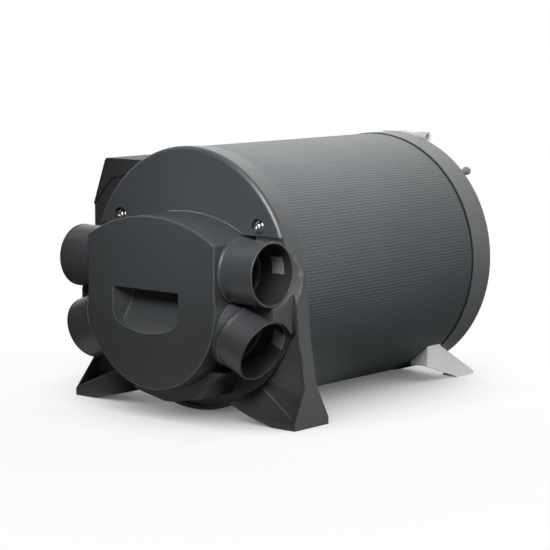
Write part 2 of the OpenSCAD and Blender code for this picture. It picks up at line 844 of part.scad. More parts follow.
module rear_bracket() {
    top_z = under_drum(bracket_x, tab_r) - 0.2;
    difference() {
        union() {
            side_slab(bracket_x, bracket_x + bracket_t) polygon([
                [bracket_y0, top_z * 0.48], [bracket_y0, top_z], [drum_y1 - 4, top_z],
                [drum_y1 + 66, 3], [drum_y1 + 64, 0], [drum_y1 + 32, 0]
            ]);
            // Front web below the drum
            slab(bracket_y0, bracket_y0 + bracket_t) difference() {
                translate([bracket_tab_x, top_z * 0.48])
                    square([bracket_x + bracket_t - bracket_tab_x, top_z * 0.52]);
                translate([0, axis_z]) circle(tab_r);
            }
            // Curved tab that the drum lies on
            slab(bracket_y0, drum_y1 - 4) intersection() {
                difference() {
                    translate([0, axis_z]) circle(tab_r + bracket_t);
                    translate([0, axis_z]) circle(tab_r);
                }
                translate([bracket_tab_x, 0]) square([bracket_x + bracket_t - bracket_tab_x, axis_z]);
            }
            block([bracket_x + bracket_t - bracket_flange_w, drum_y1 + 32, 0],
                  [bracket_x + bracket_t, drum_y1 + 64, bracket_t]);
        }
        translate([bracket_x - 9, bracket_hole_y, -past]) cylinder(d = foot_hole_d, h = bracket_t + 2 * past);
        bracket_screw_places() cylinder(r = 2 + screw_gap, h = 12, center = true);
    }
}

module rear_bracket_right() { color("#d2d6d5") rear_bracket(); }
module rear_bracket_left() { color("#d2d6d5") mirror([1, 0, 0]) rear_bracket(); }

module bracket_screws() {
    head_z = -seat_gap - bracket_t;
    color("#b8bbbd") bracket_screw_places() {
        translate([0, 0, head_z - 3.2]) cylinder(r = 4.5, h = 2.5);
        translate([0, 0, head_z - 2]) cylinder(r = 2, h = drum_wall - head_z + 1);
    }
}

module hose_peg() {
    color("#55585b") translate([peg_x, rear_y, peg_z]) rotate([-90, 0, 0]) {
        translate([0, 0, -ring_wall]) cylinder(r = 2.3, h = ring_wall + past);
        cylinder(r = 3.2, h = 12);
        translate([0, 0, 10]) cylinder(r = 5, h = 6);
    }
}

// Water tank

module front_bulkhead() {
    color("#a9acae") difference() {
        tube_y(spigot_ri - 0.4, tank_ri + 4, bulkhead_y, bulkhead_y + bulkhead_t);
        cover_screw_places() cylinder(r = screw_r + screw_gap, h = bulkhead_y + bulkhead_t + past);
    }
}

module tank_insulation() {
    color("#55595b") tube_y(drum_ri - 0.6, tank_r + 0.6, tank_y0, tank_y1);
}

module water_tank() {
    color("#c4c7c9") difference() {
        union() {
            tube_y(tank_r, tank_ri, tank_y0, tank_y1);
            for (z = [hot_z, cold_z]) rod_y(stub_r, tank_y1 - tank_wall, tank_y1 + stub_len, stub_x, z);
        }
        tube_y(tank_r - tank_wall, tank_ri + tank_wall, tank_y0 + tank_wall, tank_y1 - tank_wall);
        for (z = [hot_z, cold_z])
            rod_y(stub_r - 1.5, tank_y1 - 2 * tank_wall, tank_y1 + stub_len + past, stub_x, z);
    }
}

module tank_sensor() {
    color("#2a6a4a") rod_y(7, tank_y1 + seat_gap, tank_y1 + 9, 60, axis_z + 85);
}

module overheat_switch() {
    color("#8c2f28") rod_y(9, tank_y1 + seat_gap, tank_y1 + 8, 85, axis_z + 60);
}

// Union block on the rear plate, from the tank's stub to a threaded end along +X
module water_union(stub_z, outlet_z) {
    low = min(stub_z - sleeve_r, outlet_z - union_thread_r);
    high = max(stub_z + sleeve_r, outlet_z + union_thread_r);
    difference() {
        union() {
            rod_y(sleeve_r, sleeve_y0, rear_y + 2, stub_x, stub_z);
            block([stub_x - union_w / 2, rear_y + seat_gap, low],
                  [union_x1, rear_y + seat_gap + union_depth, high]);
            rod_x(union_thread_r - 1, union_x1 - past, union_end_x - past, union_y, outlet_z);
            rod_x(union_thread_r, union_end_x - union_thread_len, union_end_x, union_y, outlet_z);
        }
        rod_y(stub_r + 0.15, sleeve_y0 - past, tank_y1 + stub_len + 1, stub_x, stub_z);
        rod_y(stub_r - 1.5, tank_y1 + stub_len, union_y, stub_x, stub_z);
        rod_x(union_thread_r - 3, stub_x, union_end_x + past, union_y, outlet_z);
    }
}

module hot_water_union() { color("#8f9294") water_union(hot_z, hot_outlet_z); }
module cold_water_union() { color("#8f9294") water_union(cold_z, cold_outlet_z); }

// Burner and combustion air

module heat_exchanger() {
    fin_y0 = core_y0 + 8;
    fin_y1 = tank_y1 - 8;
    color("#9da1a3") difference() {
        union() {
            rod_y(core_r, core_y0, tank_y1);
            round_axis(fin_count) block([core_r - 2, fin_y0, -fin_t / 2], [tank_ri - 0.8, fin_y1, fin_t / 2]);
        }
        rod_y(core_ri, core_y0 + core_wall, tank_y1 + past);
    }
}

module burner_tube() {
    color("#b9bcbd") tube_y(burner_r, burner_r - burner_wall, core_y0 + burner_back, header_y1);
}

module ignition_electrode() {
    color("#e4e2dc") difference() {
        rod_y(electrode_r, header_y1 - electrode_len, header_y1, electrode_x);
        rod_y(1, header_y1 - electrode_len - past, header_y1 - electrode_len * 0.8, electrode_x);
    }
}

module exhaust_header() {
    color("#8d9092") difference() {
        union() {
            tube_y(core_r, core_ri, tank_y1 + seat_gap, header_y1);
            tube_y(core_r, burner_r + seat_gap, header_y1 - 2, header_y1);
            // Arms that hold the burner on the tank's rear face
            round_axis(4, 45) block([core_r - 2, tank_y1 + seat_gap, -6], [tank_ri + 14, tank_y1 + 3, 6]);
        }
        rod_x(pipe_r + seat_gap, -core_r - past, 0, flue_y, flue_z);
    }
}

module combustion_fan_housing() {
    color("#6e7173") difference() {
        rod_y(fan_house_r, fan_house_y0, fan_house_y1);
        rod_y(fan_house_r - fan_house_wall, fan_house_y0 + fan_house_wall, fan_house_y1 - fan_house_wall);
        rod_y(burner_r - burner_wall, fan_house_y0 - past, fan_house_y0 + 2 * fan_house_wall);
        rod_y(burner_shaft_r + 3, fan_house_y1 - 2 * fan_house_wall, fan_house_y1 + past);
        rod_x(pipe_r + seat_gap, -fan_house_r - past, 0, air_y, air_z);
        gas_run(gas_pipe_r + seat_gap);
    }
}

module combustion_impeller() {
    y1 = burner_fan_y0 + burner_fan_w;
    color("#4a4d50") difference() {
        union() {
            rod_y(burner_fan_r, burner_fan_y0, burner_fan_y0 + 2);
            rod_y(burner_shaft_r + 4, burner_fan_y0, y1);
            round_axis(12) block([burner_fan_r * 0.5, burner_fan_y0, -0.8], [burner_fan_r - 1, y1, 0.8]);
        }
        rod_y(burner_shaft_r + 0.02, burner_fan_y0 - past, y1 + past);
    }
}

module combustion_shaft() {
    color("#c9ccce") rod_y(burner_shaft_r, burner_fan_y0 - 2, cap_y0 + burner_motor_len + 4);
}

module combustion_motor() {
    color("#777a7d") difference() {
        rod_y(burner_motor_r, cap_y0, cap_y0 + burner_motor_len);
        rod_y(burner_shaft_r + running_gap, cap_y0 - past, cap_y0 + burner_motor_len + past);
    }
}

module flue_pipe() {
    x1 = -sqrt(pow(burner_r + 4, 2) - pow(flue_z - pipe_r - axis_z, 2));
    color("#b5b8ba") difference() {
        rod_x(pipe_r, flue_box_x1 - flue_box_wall, x1, flue_y, flue_z);
        rod_x(pipe_r - 1, flue_box_x1 - flue_box_wall - past, x1 + past, flue_y, flue_z);
    }
}

module air_pipe() {
    x1 = -sqrt(pow(fan_house_r - fan_house_wall, 2) - pow(air_z + pipe_r - axis_z, 2));
    color("#4c4f52") difference() {
        rod_x(pipe_r, flue_box_x1 - flue_box_wall, x1, air_y, air_z);
        rod_x(pipe_r - 1, flue_box_x1 - flue_box_wall - past, x1 + past, air_y, air_z);
    }
}

module flue_housing() {
    w = flue_box_wall;
    color("#33363a") difference() {
        block([flue_box_x0, flue_box_y0, flue_box_floor], [flue_box_x1, flue_box_y1, flue_box_top]);
        block([flue_box_x0 + w, flue_box_y0 + w, flue_box_floor + w],
              [flue_box_x1 - w, flue_box_y1 - w, axis_z - w / 2]);
        block([flue_box_x0 + w, flue_box_y0 + w, axis_z + w / 2],
              [flue_box_x1 - w, flue_box_y1 - w, flue_box_top - w]);
        rod_x(pipe_r + seat_gap, flue_box_x1 - 2 * w, flue_box_x1 + past, flue_y, flue_z);
        rod_x(pipe_r + seat_gap, flue_box_x1 - 2 * w, flue_box_x1 + past, air_y, air_z);
        rod_x(flue_spigot_d / 2 + seat_gap, flue_box_x0 - past, flue_box_x0 + 2 * w,
              flue_box_mid_y, flue_spigot_z);
        rod_x(air_spigot_d / 2 + seat_gap, flue_box_x0 - past, flue_box_x0 + 2 * w,
              flue_box_mid_y, air_spigot_z);
    }
}

// Round spigot with a flange on the flue housing's outer wall
module wall_spigot(d, z, wall) {
    difference() {
        union() {
            rod_x(d / 2, -spigot_reach, flue_box_x0 + flue_box_wall, flue_box_mid_y, z);
            rod_x(d / 2 + 3, flue_box_x0 - 2.5, flue_box_x0, flue_box_mid_y, z);
        }
        rod_x(d / 2 - wall, -spigot_reach - past, flue_box_x0 + 2 * flue_box_wall, flue_box_mid_y, z);
    }
}

module flue_spigot() { color("#bfc2c4") wall_spigot(flue_spigot_d, flue_spigot_z, 1.2); }
module air_spigot() { color("#2c2f31") wall_spigot(air_spigot_d, air_spigot_z, 2); }

// Gas train

// The gas pipe's run: back through the rear plate, then in to the fan housing
module gas_run(r) {
    reach = gas_off * sqrt(2);
    rod_y(r, gas_y, rear_y + 6, -gas_off, axis_z - gas_off);
    translate([-gas_off, gas_y, axis_z - gas_off]) {
        sphere(r = r * 1.3);
        rotate([0, 45, 0]) cylinder(r = r, h = reach - fan_house_r + fan_house_wall);
    }
}

module gas_pipe() {
    color("#c08a4a") gas_run(gas_pipe_r);
}

module gas_valve() {
    centre = gas_off + 2;
    color("#a8abae") difference() {
        union() {
            block([-centre - gas_w / 2, rear_y + seat_gap, axis_z - centre - gas_w / 2],
                  [-centre + gas_w / 2, rear_y + seat_gap + gas_depth, axis_z - centre + gas_w / 2]);
            rod_y(gas_w * 0.4, rear_y + gas_depth, rear_y + gas_depth + 20, -centre, axis_z - centre);
        }
        rod_y(gas_pipe_r + 0.1, rear_y - past, rear_y + 6.1, -gas_off, axis_z - gas_off);
        rod_x(gas_pipe_r + 0.1, -centre - gas_w / 2 - past, -centre - gas_w / 2 + 8,
              rear_y + gas_depth / 2, axis_z - centre);
    }
}

module gas_inlet() {
    x1 = -gas_off - 2 - gas_w / 2;
    color("#b58b45") difference() {
        union() {
            rod_x(gas_pipe_r, x1 - 28, x1 + 7.8, rear_y + gas_depth / 2, axis_z - gas_off - 2);
            rod_x(gas_pipe_r + 3, x1 - 6, x1, rear_y + gas_depth / 2, axis_z - gas_off - 2);
        }
        rod_x(gas_pipe_r - 1, x1 - 29, x1 + 9, rear_y + gas_depth / 2, axis_z - gas_off - 2);
    }
}

// Circulation fan

module motor_bracket() {
    color("#7b7e80") difference() {
        union() {
            tube_y(inlet_r + 14, inlet_r, panel_back_y + 0.2, panel_back_y + 3.2);
            tube_y(cup_ri + cup_wall, cup_ri, panel_back_y + 0.2, motor_y0 + 16);
            round_axis(3, 90) block([cup_ri + past, panel_back_y + 0.2, -7],
                                    [inlet_r + 2, panel_back_y + 3.2, 7]);
        }
        rod_y(cup_ri, panel_back_y - past, motor_y0 + 17);
    }
}

module fan_motor() {
    color("#8a8d90") difference() {
        union() {
            rod_y(motor_r, motor_y0, motor_y0 + motor_len);
            rod_y(shaft_r + 6, motor_y0 - 4, motor_y0 + past);
        }
        rod_y(shaft_r + running_gap, motor_y0 - 5, motor_y0 + motor_len + past);
    }
}

module fan_shaft() {
    color("#c9ccce") rod_y(shaft_r, impeller_y0 - 3, motor_y0 + motor_len + 4);
}

module circulation_impeller() {
    blade_in = impeller_r * 0.64;
    color("#515457") difference() {
        union() {
            rod_y(impeller_r, impeller_y0, impeller_y0 + 2.5);
            rod_y(hub_r, impeller_y0, impeller_y1 - 3);
            tube_y(impeller_r, impeller_r - 5, impeller_y1 - 3, impeller_y1);
            round_axis(blade_count) translate([blade_in, 0, 0]) rotate([0, 28, 0])
                block([0, impeller_y0, -0.8], [impeller_r * 0.34, impeller_y1 - 1, 0.8]);
        }
        rod_y(shaft_r + 0.02, impeller_y0 - past, impeller_y1 + past);
    }
}

// Electronics housing

module parting_edge_points(drop) {
    polygon([
        [box_x - 20, parting_z - drop], [box_x, parting_z - drop], parting_a - [0, drop],
        parting_b - [0, drop], [0, parting_b[1] - drop], [0, 0], [box_x - 20, 0]
    ]);
}

module electronics_base() {
    color("#34373a") difference() {
        union() {
            difference() {
                slab(box_front, box_y1) intersection() {
                    translate([box_x, box_floor]) square([box_in_x - box_x, 200]);
                    parting_edge_points(seat_gap);
                }
                slab(box_front + box_wall, box_y1 - box_wall)
                    translate([box_x + box_wall, box_floor + box_wall]) square([200, 200]);
            }
            // Wall along the drum
            slab(box_front, box_y1) intersection() {
                translate([box_x, box_floor]) square([box_in_x - box_x, 200]);
                parting_edge_points(seat_gap);
                translate([0, axis_z]) circle(box_drum_r + box_wall);
            }
            for (x = [board_x0 + 6, board_x1 - 6], y = [board_y0 + 6, board_y1 - 6])
                translate([x, y, box_floor]) cylinder(r = 4, h = board_z - box_floor);
        }
        rod_y(box_drum_r, box_front - past, box_y1 + past);
        rod_x(button_r + running_gap, box_x - past, box_x + 2 * box_wall, button_y, button_z);
        gland_places() translate([0, 0, -box_wall - past]) cylinder(r = gland_bore_r + 1.5, h = box_wall + 3);
    }
}

module electronics_lid() {
    outer = [[box_x - lid_lip, parting_z], [lid_top_x, lid_top], [0, lid_top], [0, parting_z]];
    slope = (lid_top_x - box_x + lid_lip) / (lid_top - parting_z);
    inner_top = lid_top - box_wall;
    inner_x = box_x - lid_lip + box_wall * 1.1;
    inner = [
        [inner_x - 20 * slope, parting_z - 20], [inner_x + slope * (inner_top - parting_z), inner_top],
        [0, inner_top], [0, parting_z - 20]
    ];
    color("#3b3e41") difference() {
        slab(box_front - lid_lip, box_y1 + lid_lip) difference() {
            polygon(outer);
            parting_edge_points(0);
        }
        slab(box_front - lid_lip + box_wall, box_y1 + lid_lip - box_wall) polygon(inner);
        rod_y(box_drum_r, box_front - 5, box_y1 + 5);
    }
}

module control_board() {
    color("#2f6b45") block([board_x0, board_y0, board_z + 0.1], [board_x1, board_y1, board_z + 0.1 + board_t]);
}

module terminal_blocks() {
    top = board_z + 0.2 + board_t;
    pitch = (board_y1 - board_y0 - 2 * terminal_edge) / 3;
    color("#c9cbc4") for (i = [0 : 2])
        translate([board_x0 + 4, board_y0 + terminal_edge + terminal_space / 2 + i * pitch, top])
            cube([terminal_w, pitch - terminal_space, terminal_h]);
}

module ignition_module() {
    top = board_z + 0.2 + board_t;
    color("#26282a") block([board_x0 + 34, board_y0 + 30, top], [board_x1 - 12, board_y1 - 30, top + 34]);
}

module reset_button() {
    color("#a8322b") {
        rod_x(button_r, box_x - button_proud, box_x + 2 * box_wall, button_y, button_z);
        rod_x(button_r + 2.5, box_x + box_wall + 0.4, box_x + box_wall + 2.4, button_y, button_z);
    }
}

module gland_places() {
    for (i = [0, 1])
        translate([box_x + 22, box_y1 - 30 - i * 30, box_floor]) mirror([0, 0, 1]) children();
}

module cable_glands() {
    color("#222426") gland_places() difference() {
        union() {
            translate([0, 0, 0.2]) cylinder(r = gland_r, h = gland_len);
            translate([0, 0, -box_wall]) cylinder(r = gland_bore_r + 1.2, h = box_wall + past);
        }
        translate([0, 0, -box_wall - past]) cylinder(r = gland_bore_r, h = gland_len + box_wall + 3 * past);
    }
}

front_cover();
cover_screws();
air_manifold();
manifold_gasket();
duct_socket_upper_right();
duct_socket_upper_left();
duct_socket_lower_right();
duct_socket_lower_left();
drum_casing();
rear_seal();
rear_cover();
intake_grille();
grille_screws();
motor_cap();
rear_bracket_right();
rear_bracket_left();
bracket_screws();
hose_peg();
front_bulkhead();
tank_insulation();
water_tank();
tank_sensor();
overheat_switch();
hot_water_union();
cold_water_union();
heat_exchanger();
burner_tube();
ignition_electrode();
exhaust_header();
combustion_fan_housing();
combustion_impeller();
combustion_shaft();
combustion_motor();
flue_pipe();
air_pipe();
flue_housing();
flue_spigot();
air_spigot();
gas_valve();
gas_inlet();
gas_pipe();
motor_bracket();
fan_motor();
fan_shaft();
circulation_impeller();
electronics_base();
electronics_lid();
control_board();
terminal_blocks();
ignition_module();
reset_button();
cable_glands();
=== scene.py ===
"""Looks of a combined warm-air and water heater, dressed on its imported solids.

Metres, in the frame of the solids: +X right seen from the outlet end, +Y along the drum to the rear, +Z up.
"""
import json
import logging
import math
from dataclasses import dataclass
from enum import Enum
from typing import Callable, Dict, List, Sequence, Tuple, Union

import bpy
from mathutils import Matrix, Vector

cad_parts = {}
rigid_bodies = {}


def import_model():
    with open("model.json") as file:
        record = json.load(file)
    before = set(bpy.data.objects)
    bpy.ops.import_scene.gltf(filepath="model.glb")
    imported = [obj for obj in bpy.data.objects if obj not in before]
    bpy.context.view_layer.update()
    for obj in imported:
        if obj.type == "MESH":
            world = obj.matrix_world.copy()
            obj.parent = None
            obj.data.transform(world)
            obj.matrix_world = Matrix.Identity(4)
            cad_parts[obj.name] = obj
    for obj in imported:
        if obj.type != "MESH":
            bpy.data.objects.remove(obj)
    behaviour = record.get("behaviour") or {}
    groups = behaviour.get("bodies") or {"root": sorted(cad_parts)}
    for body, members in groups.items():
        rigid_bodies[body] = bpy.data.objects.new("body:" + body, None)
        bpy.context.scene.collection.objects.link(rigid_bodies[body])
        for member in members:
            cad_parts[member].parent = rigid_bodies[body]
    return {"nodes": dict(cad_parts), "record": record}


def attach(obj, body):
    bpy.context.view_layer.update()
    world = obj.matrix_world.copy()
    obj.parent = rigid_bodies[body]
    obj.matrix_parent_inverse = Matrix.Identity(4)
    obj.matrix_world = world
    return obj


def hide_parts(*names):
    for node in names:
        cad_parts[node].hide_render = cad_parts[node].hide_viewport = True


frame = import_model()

LOG = logging.getLogger("heater")
Flat = Tuple[float, float]
Point = Tuple[float, float, float]
Colour = Tuple[float, float, float]
Profile = Sequence[Flat]
Piece = bpy.types.Object
Node = bpy.types.Node
NodeTree = bpy.types.NodeTree
Socket = bpy.types.NodeSocket

# Shared stations of the drum, its covers and the manifold's face
AXIS_Z = 0.1485
DRUM_R = 0.1465
DRUM_FRONT = 0.0323
DRUM_REAR = 0.3400
RING_FRONT = 0.3431
REAR = 0.3781
FACE_Y = -0.061
ROOT = "heater"
SIDES = ((1.0, "right"), (-1.0, "left"))

# Settings of the hand tools, with angles in degrees
ORIGIN = (0.0, 0.0, 0.0)
BACKWARD = (0.0, 1.0, 0.0)
UPWARD = (0.0, 0.0, 1.0)
SEED_SIZE = 0.001
WELD = 1e-6
SOLID_WELD = 2e-6
LATHE_WELD = 1e-5
FLAT_WITHIN = 0.6
SMOOTH_BELOW = 40.0
ROUND_ABOVE = 35.0
WIDE_SEGMENTS = 5

# Noise that all finishes have in common
FINE_OCTAVES = 3.0
BROAD_OCTAVES = 2.0
BROAD_SCALE = 14.0
FINE_SHARE = 0.35
TONE_SPAN = (0.3, 0.7)
GLOSS_SPAN = (0.25, 0.75)
GLOSS_SWING = 0.07
GLOSSIEST = 0.03
BUMP_SHARE = 0.3
COAT_ROUGHNESS = 0.3
BRUSHED_SCALE = (1.0, 0.04, 1.0)
EVEN_SCALE = (1.0, 1.0, 1.0)
WHITE = (1.0, 1.0, 1.0, 1.0)


def feed(tree: NodeTree, entry: Socket, term: Union[Socket, float]) -> None:
    """Feeds one input of a node.

    Args:
        tree: Node tree of the node.
        entry: Input to feed.
        term: Output of another node, or a plain number.
    """
    if isinstance(term, Socket):
        tree.links.new(term, entry)
    else:
        entry.default_value = term


def calculate(tree: NodeTree, operation: str, *terms: Union[Socket, float]) -> Socket:
    """Adds a math node.

    Args:
        tree: Node tree that gets the node.
        operation: What the node does.
        terms: What its inputs take, in their order.

    Returns:
        The result.
    """
    node = tree.nodes.new("ShaderNodeMath")
    node.operation = operation
    for entry, term in zip(node.inputs, terms):
        feed(tree, entry, term)
    return node.outputs[0]


def map_range(tree: NodeTree, source: Socket, taken: Flat, given: Flat) -> Socket:
    """Adds a node that maps one range of values to another and holds its ends.

    Args:
        tree: Node tree that gets the node.
        source: Value that comes in.
        taken: Both ends of the range that comes in.
        given: What goes out for these two.

    Returns:
        The mapped value.
    """
    node = tree.nodes.new("ShaderNodeMapRange")
    for label, value in zip(("From Min", "From Max", "To Min", "To Max"), (*taken, *given)):
        node.inputs[label].default_value = value
    feed(tree, node.inputs["Value"], source)
    return node.outputs["Result"]


def by_ray(tree: NodeTree, ray: Socket, other: Union[Socket, float], own: float) -> Socket:
    """Adds a mix that gives one kind of ray a value of its own.

    Args:
        tree: Node tree that gets the node.
        ray: 1 for that kind of ray, 0 for the rest.
        other: Value for the rest.
        own: Value for that kind.

    Returns:
        The value for the ray at hand.
    """
    node = tree.nodes.new("ShaderNodeMix")
    node.data_type = "FLOAT"
    for label, term in (("Factor", ray), ("A", other), ("B", own)):
        feed(tree, node.inputs[label], term)
    return node.outputs["Result"]


class Grain(Enum):
    """How a finish breaks up the light."""

    MOULDED = "moulded"
    BRUSHED = "brushed"
    CAST = "cast"
    FELT = "felt"
    SMOOTH = "smooth"


@dataclass(frozen=True)
class Finish:
    """One surface finish, made as a node material on Object coordinates."""

    name: str
    base: Colour
    roughness: float
    metallic: float = 0.0
    grain: Grain = Grain.MOULDED
    grain_size: float = 0.0009
    grain_depth: float = 0.25
    tone: float = 0.10
    coat: float = 0.0
    specular: float = 0.5

    def material(self) -> bpy.types.Material:
        """Makes the material once and gives it back afterwards.

        Returns:
            The node material of this finish.
        """
        found = bpy.data.materials.get(self.name)
        if found is not None:
            return found
        made = bpy.data.materials.new(self.name)
        made.use_nodes = True
        tree = made.node_tree
        shader = tree.nodes["Principled BSDF"]
        shader.inputs["Metallic"].default_value = self.metallic
        shader.inputs["Specular IOR Level"].default_value = self.specular
        shader.inputs["Coat Weight"].default_value = self.coat
        shader.inputs["Coat Roughness"].default_value = COAT_ROUGHNESS
        coords = tree.nodes.new("ShaderNodeTexCoord")
        mapping = tree.nodes.new("ShaderNodeMapping")
        mapping.inputs["Scale"].default_value = self._stretch()
        tree.links.new(coords.outputs["Object"], mapping.inputs["Vector"])
        fine = self._noise(tree, mapping, 1.0 / self.grain_size, FINE_OCTAVES)
        broad = self._noise(tree, mapping, BROAD_SCALE, BROAD_OCTAVES)
        self._colour(tree, shader, broad, fine)
        self._gloss(tree, shader, broad, fine)
        self._relief(tree, shader, fine)
        return made

    def _stretch(self) -> Point:
        """Draws the pattern of brushed metal out along the drum.

        Returns:
            Scale of the pattern along the three axes.
        """
        return BRUSHED_SCALE if self.grain is Grain.BRUSHED else EVEN_SCALE

    @staticmethod
    def _noise(tree: NodeTree, mapping: Node, scale: float, detail: float) -> Socket:
        """Adds a noise texture.

        Args:
            tree: Node tree of the material.
            mapping: Node that gives the coordinates.
            scale: Features a metre.
            detail: Octaves of the noise.

        Returns:
            The value of the noise.
        """
        noise = tree.nodes.new("ShaderNodeTexNoise")
        noise.inputs["Scale"].default_value = scale
        noise.inputs["Detail"].default_value = detail
        tree.links.new(mapping.outputs["Vector"], noise.inputs["Vector"])
        return noise.outputs["Fac"]

    def _colour(self, tree: NodeTree, shader: Node, broad: Socket, fine: Socket) -> None:
        """Varies the base colour softly over the piece and a little from grain to grain.

        Args:
            tree: Node tree of the material.
            shader: Principled shader.
            broad: Slow noise.
            fine: Grain noise.
        """
        ramp = tree.nodes.new("ShaderNodeValToRGB")
        low, high = ramp.color_ramp.elements
        low.position, high.position = TONE_SPAN
        low.color = (*[c * (1.0 - self.tone) for c in self.base], 1.0)
        high.color = (*[min(1.0, c * (1.0 + self.tone)) for c in self.base], 1.0)
        slow = calculate(tree, "MULTIPLY", broad, 1.0 - FINE_SHARE)
        blend = calculate(tree, "MULTIPLY_ADD", fine, FINE_SHARE, slow)
        tree.links.new(blend, ramp.inputs["Fac"])
        tree.links.new(ramp.outputs["Color"], shader.inputs["Base Color"])

    def _gloss(self, tree: NodeTree, shader: Node, broad: Socket, fine: Socket) -> None:
        """Lets the roughness follow the grain, or the slow noise on a smooth finish.

        Args:
            tree: Node tree of the material.
            shader: Principled shader.
            broad: Slow noise.
            fine: Grain noise.
        """
        source = broad if self.grain is Grain.SMOOTH else fine
        swing = (max(GLOSSIEST, self.roughness - GLOSS_SWING), min(1.0, self.roughness + GLOSS_SWING))
        tree.links.new(map_range(tree, source, GLOSS_SPAN, swing), shader.inputs["Roughness"])

    def _relief(self, tree: NodeTree, shader: Node, fine: Socket) -> None:
        """Turns the grain into bump.

        Args:
            tree: Node tree of the material.
            shader: Principled shader.
            fine: Grain noise.
        """
        bump = tree.nodes.new("ShaderNodeBump")
        bump.inputs["Strength"].default_value = self.grain_depth
        bump.inputs["Distance"].default_value = self.grain_size * BUMP_SHARE
        tree.links.new(fine, bump.inputs["Height"])
        tree.links.new(bump.outputs["Normal"], shader.inputs["Normal"])


FINISHES: Dict[str, Finish] = {
    "charcoal_plastic": Finish("charcoal_grain", (0.036, 0.039, 0.042), 0.41),
    "drum_paint": Finish("slate_paint", (0.040, 0.051, 0.054), 0.42, grain_size=0.0006, grain_depth=0.12),
    "grey_plastic": Finish("ring_grain", (0.100, 0.104, 0.108), 0.46),
    # The pads' own lighter grey, also used on each duct's stop ring as a painted highlight line.
    "duct_pad": Finish("pad_grain", (0.120, 0.124, 0.128), 0.50),
    "peg_grey": Finish("peg_grain", (0.24, 0.245, 0.25), 0.46),
    "pale_fitting": Finish("pale_alloy", (0.70, 0.71, 0.71), 0.42, 0.2, Grain.CAST, 0.002, 0.08, 0.08),
    "box_plastic": Finish("box_grain", (0.026, 0.028, 0.030), 0.58),
    "black_plastic": Finish("black_moulding", (0.018, 0.019, 0.020), 0.42),
    "rubber": Finish("seal_rubber", (0.010, 0.010, 0.011), 0.75, grain_size=0.0012, specular=0.1),
    "galvanised_steel": Finish("zinc_sheet", (0.92, 0.93, 0.93), 0.38, 0.40, Grain.CAST, 0.004, 0.06, 0.10),
    "bright_steel": Finish("bright_screw", (0.72, 0.73, 0.74), 0.22, 1.0, Grain.SMOOTH, 0.002, 0.05, 0.06),
    "stainless_steel": Finish(
        "rolled_stainless", (0.55, 0.56, 0.57), 0.30, 1.0, Grain.BRUSHED, 0.0008, 0.04, 0.05),
    "cast_aluminium": Finish("cast_alloy", (0.42, 0.43, 0.44), 0.48, 0.9, Grain.CAST, 0.0016, 0.25, 0.12),
    "insulation_felt": Finish("grey_felt", (0.13, 0.135, 0.14), 0.95, 0.0, Grain.FELT, 0.0018, 0.8, 0.30),
    "brass": Finish("turned_brass", (0.58, 0.44, 0.20), 0.28, 1.0, Grain.BRUSHED, 0.0010, 0.08, 0.10),
    "white_ceramic": Finish(
        "glazed_white", (0.72, 0.71, 0.67), 0.25, grain=Grain.SMOOTH, tone=0.05, coat=0.4),
    "board_green": Finish("board_lacquer", (0.03, 0.13, 0.06), 0.32, grain_size=0.0020, coat=0.3),
    "red_plastic": Finish("red_moulding", (0.36, 0.030, 0.024), 0.32, grain_size=0.0012, coat=0.2),
}


